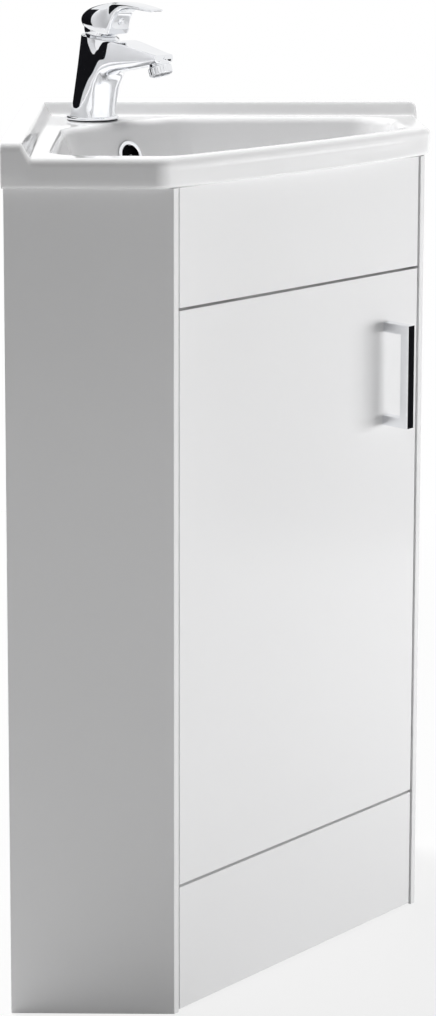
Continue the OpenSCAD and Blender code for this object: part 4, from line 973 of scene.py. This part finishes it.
lever_shell = combined(lever_shell, cap_band(lever_shell), "UNION")
add_piece("lever_shell", lever_shell, "lever", "lever", sharp=40)

# Indicator: a domed button let into the front of the cap
BUTTON_UP = 105.0
BUTTON_RADIUS = 4.0
BUTTON_FROM = 80        # ahead of the cap
button_ahead = tap_place(BUTTON_FROM, 0, BUTTON_UP)
inward = (tap_place(0, 0, BUTTON_UP) - button_ahead).normalized()
button_place, button_normal = surface_tree(lever_shell).ray_cast(button_ahead, inward)[:2]
button_profile = [(0, -3), (BUTTON_RADIUS, -3), (BUTTON_RADIUS, 0.5), (BUTTON_RADIUS - 0.3, 0.85),
                  (BUTTON_RADIUS - 0.9, 0.9), (BUTTON_RADIUS - 1.2, 0.5), (BUTTON_RADIUS - 1.5, 0.45),
                  (1.6, 0.8), (0, 0.9)]
add_piece("indicator_button", lathe("indicator_button", button_profile,
                                    frame_at(button_place, button_normal, (1, 1, 0)), steps=48),
          "lever", "indicator_plug")

AERATOR_TILT = math.radians(-20)
AERATOR_PLACE = (100.3, 0, 61.5)
AERATOR_RADIUS = 12.2
FLUTES = 24
FLUTE_DEPTH = 0.5
FLUTED_RADIUS, FLUTE_LOW, FLUTE_HIGH = 12, -7.5, -1.5
aerator_profile = [(9.6, -9), (11.2, -9), (AERATOR_RADIUS, -8.2), (AERATOR_RADIUS, -7), (AERATOR_RADIUS, -2),
                   (AERATOR_RADIUS, -0.8), (11.4, 0), (10.4, 0.2), (10.4, 6), (9.6, 6)]
aerator = lathe("aerator_trim", eased(aerator_profile, 0.4), tap_frame(AERATOR_PLACE, AERATOR_TILT),
                steps=CIRCLE_STEPS * 2, closed=True, flute_count=FLUTES, flute_depth=FLUTE_DEPTH,
                is_fluted=lambda r, z: r >= FLUTED_RADIUS and FLUTE_LOW <= z <= FLUTE_HIGH)
add_piece("aerator_trim", aerator, "cabinet", "aerator_housing")


# ---- Stage: floor, lamps, dark cards for the chrome, camera ----

GLOW_NEAR, GLOW_FAR = 0.8, 1.7    # metres from the object between which the floor's glow rises to white


def stage_material(name, color, camera_glow=0.0):
    """A plain surface; camera and mirror rays may see it glow, up to pure white far from the object."""
    material = bpy.data.materials.new(name)
    material.use_nodes = True
    tree = material.node_tree
    shader = tree.nodes["Principled BSDF"]
    shader.inputs["Base Color"].default_value = (*color, 1)
    shader.inputs["Roughness"].default_value = 0.9
    shader.inputs["Specular IOR Level"].default_value = 0.0
    if camera_glow:
        coords = tree.nodes.new("ShaderNodeTexCoord")
        far = tree.nodes.new("ShaderNodeVectorMath")
        far.operation = "LENGTH"
        tree.links.new(coords.outputs["Object"], far.inputs[0])
        rise = tree.nodes.new("ShaderNodeMapRange")
        rise.interpolation_type = "SMOOTHSTEP"
        rise.inputs["From Min"].default_value = GLOW_NEAR
        rise.inputs["From Max"].default_value = GLOW_FAR
        rise.inputs["To Min"].default_value = camera_glow
        rise.inputs["To Max"].default_value = 1.0
        tree.links.new(far.outputs["Value"], rise.inputs["Value"])
        rays = tree.nodes.new("ShaderNodeLightPath").outputs
        seen = add_math(tree, "MAXIMUM", rays["Is Camera Ray"], rays["Is Glossy Ray"])
        glow = tree.nodes.new("ShaderNodeEmission")
        glow.inputs["Strength"].default_value = 1.0
        mix = tree.nodes.new("ShaderNodeMixShader")
        tree.links.new(add_math(tree, "MULTIPLY", seen, rise.outputs["Result"]), mix.inputs[0])
        tree.links.new(shader.outputs[0], mix.inputs[1])
        tree.links.new(glow.outputs[0], mix.inputs[2])
        tree.links.new(mix.outputs[0], tree.nodes["Material Output"].inputs["Surface"])
    return material


def stage_plane(name, corners, material):
    mesh = bpy.data.meshes.new(name)
    mesh.from_pydata(corners, [], [(0, 1, 2, 3)])
    mesh.materials.append(material)
    plane = bpy.data.objects.new(name, mesh)
    bpy.context.scene.collection.objects.link(plane)
    return plane


FLOOR_REACH = 30.0
# All measures of the stage are in metres
stage_plane("floor", [(-FLOOR_REACH, -FLOOR_REACH, 0), (FLOOR_REACH, -FLOOR_REACH, 0),
                      (FLOOR_REACH, FLOOR_REACH, 0), (-FLOOR_REACH, FLOOR_REACH, 0)],
            stage_material("floor_pale", (0.86, 0.86, 0.86), camera_glow=0.8))

dark = stage_material("card_dark", (0.01, 0.01, 0.012))
grey = stage_material("card_grey", (0.85, 0.85, 0.86))
# Upright cards that only mirrors see, as (from, to, lowest, highest, surface)
CARDS = {
    "card_left": ((-1.7, -0.06), (-1.7, 2.6), 0.3, 2.4, dark),
    "card_behind": ((-1.7, 2.6), (-0.65, 2.6), 0.3, 2.4, dark),
    "card_front_left": ((-2.0, -3.2), (-2.0, 0.0), 0.0, 2.6, grey),
    "card_front": ((-2.0, -3.2), (0.7, -3.2), 0.0, 1.3, grey),
    "card_right": ((1.25, -0.15), (1.25, 0.35), 0.1, 0.75, dark),
}
for name, (start, end, low, high, surface) in CARDS.items():
    card = stage_plane(name, [(*start, low), (*end, low), (*end, high), (*start, high)], surface)
    card.visible_camera = False
    card.visible_diffuse = False
    card.visible_shadow = False
    card.visible_transmission = False


LAMP_FAR = 3.4
LAMP_LEVEL = 0.45       # height of the place that the lamps point at


def lamp_place(azimuth, height):
    """A place round the object, by degrees from +x towards the back, and over the level."""
    around, up = math.radians(azimuth), math.radians(height)
    return Vector((LAMP_FAR * math.cos(up) * math.cos(around), LAMP_FAR * math.cos(up) * math.sin(around),
                   LAMP_LEVEL + LAMP_FAR * math.sin(up)))


def area_lamp(name, place, width, height, watts):
    """A lamp that points at the object, and that neither the camera nor a mirror sees."""
    lamp = bpy.data.lights.new(name, "AREA")
    lamp.shape = "RECTANGLE"
    lamp.size = width
    lamp.size_y = height
    lamp.energy = watts
    holder = bpy.data.objects.new(name, lamp)
    holder.location = place
    holder.rotation_mode = "QUATERNION"
    holder.rotation_quaternion = (place - Vector((0, 0, LAMP_LEVEL))).to_track_quat("Z", "Y")
    holder.visible_camera = False
    holder.visible_glossy = False
    bpy.context.scene.collection.objects.link(holder)


area_lamp("key", lamp_place(azimuth=-9, height=0), width=2.6, height=0.9, watts=84)
area_lamp("top", lamp_place(azimuth=135, height=65), width=1.8, height=1.8, watts=132)

WORLD_FILL = 0.13       # strength for light on the object; where it is seen or mirrored, it is 1

world = bpy.data.worlds.new("studio")
bpy.context.scene.world = world
world.use_nodes = True
tree = world.node_tree
background = tree.nodes["Background"]
background.inputs["Color"].default_value = (1, 1, 1, 1)
rays = tree.nodes.new("ShaderNodeLightPath").outputs
seen = add_math(tree, "MAXIMUM", rays["Is Camera Ray"], rays["Is Glossy Ray"])
seen = add_math(tree, "MAXIMUM", seen, rays["Is Transmission Ray"])
strength = tree.nodes.new("ShaderNodeMapRange")
strength.inputs["To Min"].default_value = WORLD_FILL
strength.inputs["To Max"].default_value = 1.0
tree.links.new(seen, strength.inputs["Value"])
tree.links.new(strength.outputs["Result"], background.inputs["Strength"])

# Camera: the photograph's view of the unit, 436 by 1016 pixels, solved on its edges
CAMERA_PLACE = (161.81, 2657.23, 1096.48)    # mm from the wall corner
CAMERA_DOWN, CAMERA_ROLL, CAMERA_TURN = 0.1424, -0.0021, -0.016    # radians
camera_data = bpy.data.cameras.new("camera")
camera_data.sensor_width = 36
camera_data.lens = 87.66
camera_data.shift_y = -0.2874
camera = bpy.data.objects.new("camera", camera_data)
camera.location = room(*CAMERA_PLACE)
camera.rotation_euler = (math.pi / 2 - CAMERA_DOWN, CAMERA_ROLL, CAMERA_TURN)
bpy.context.scene.collection.objects.link(camera)
bpy.context.scene.camera = camera

bpy.context.scene.view_settings.view_transform = "Standard"
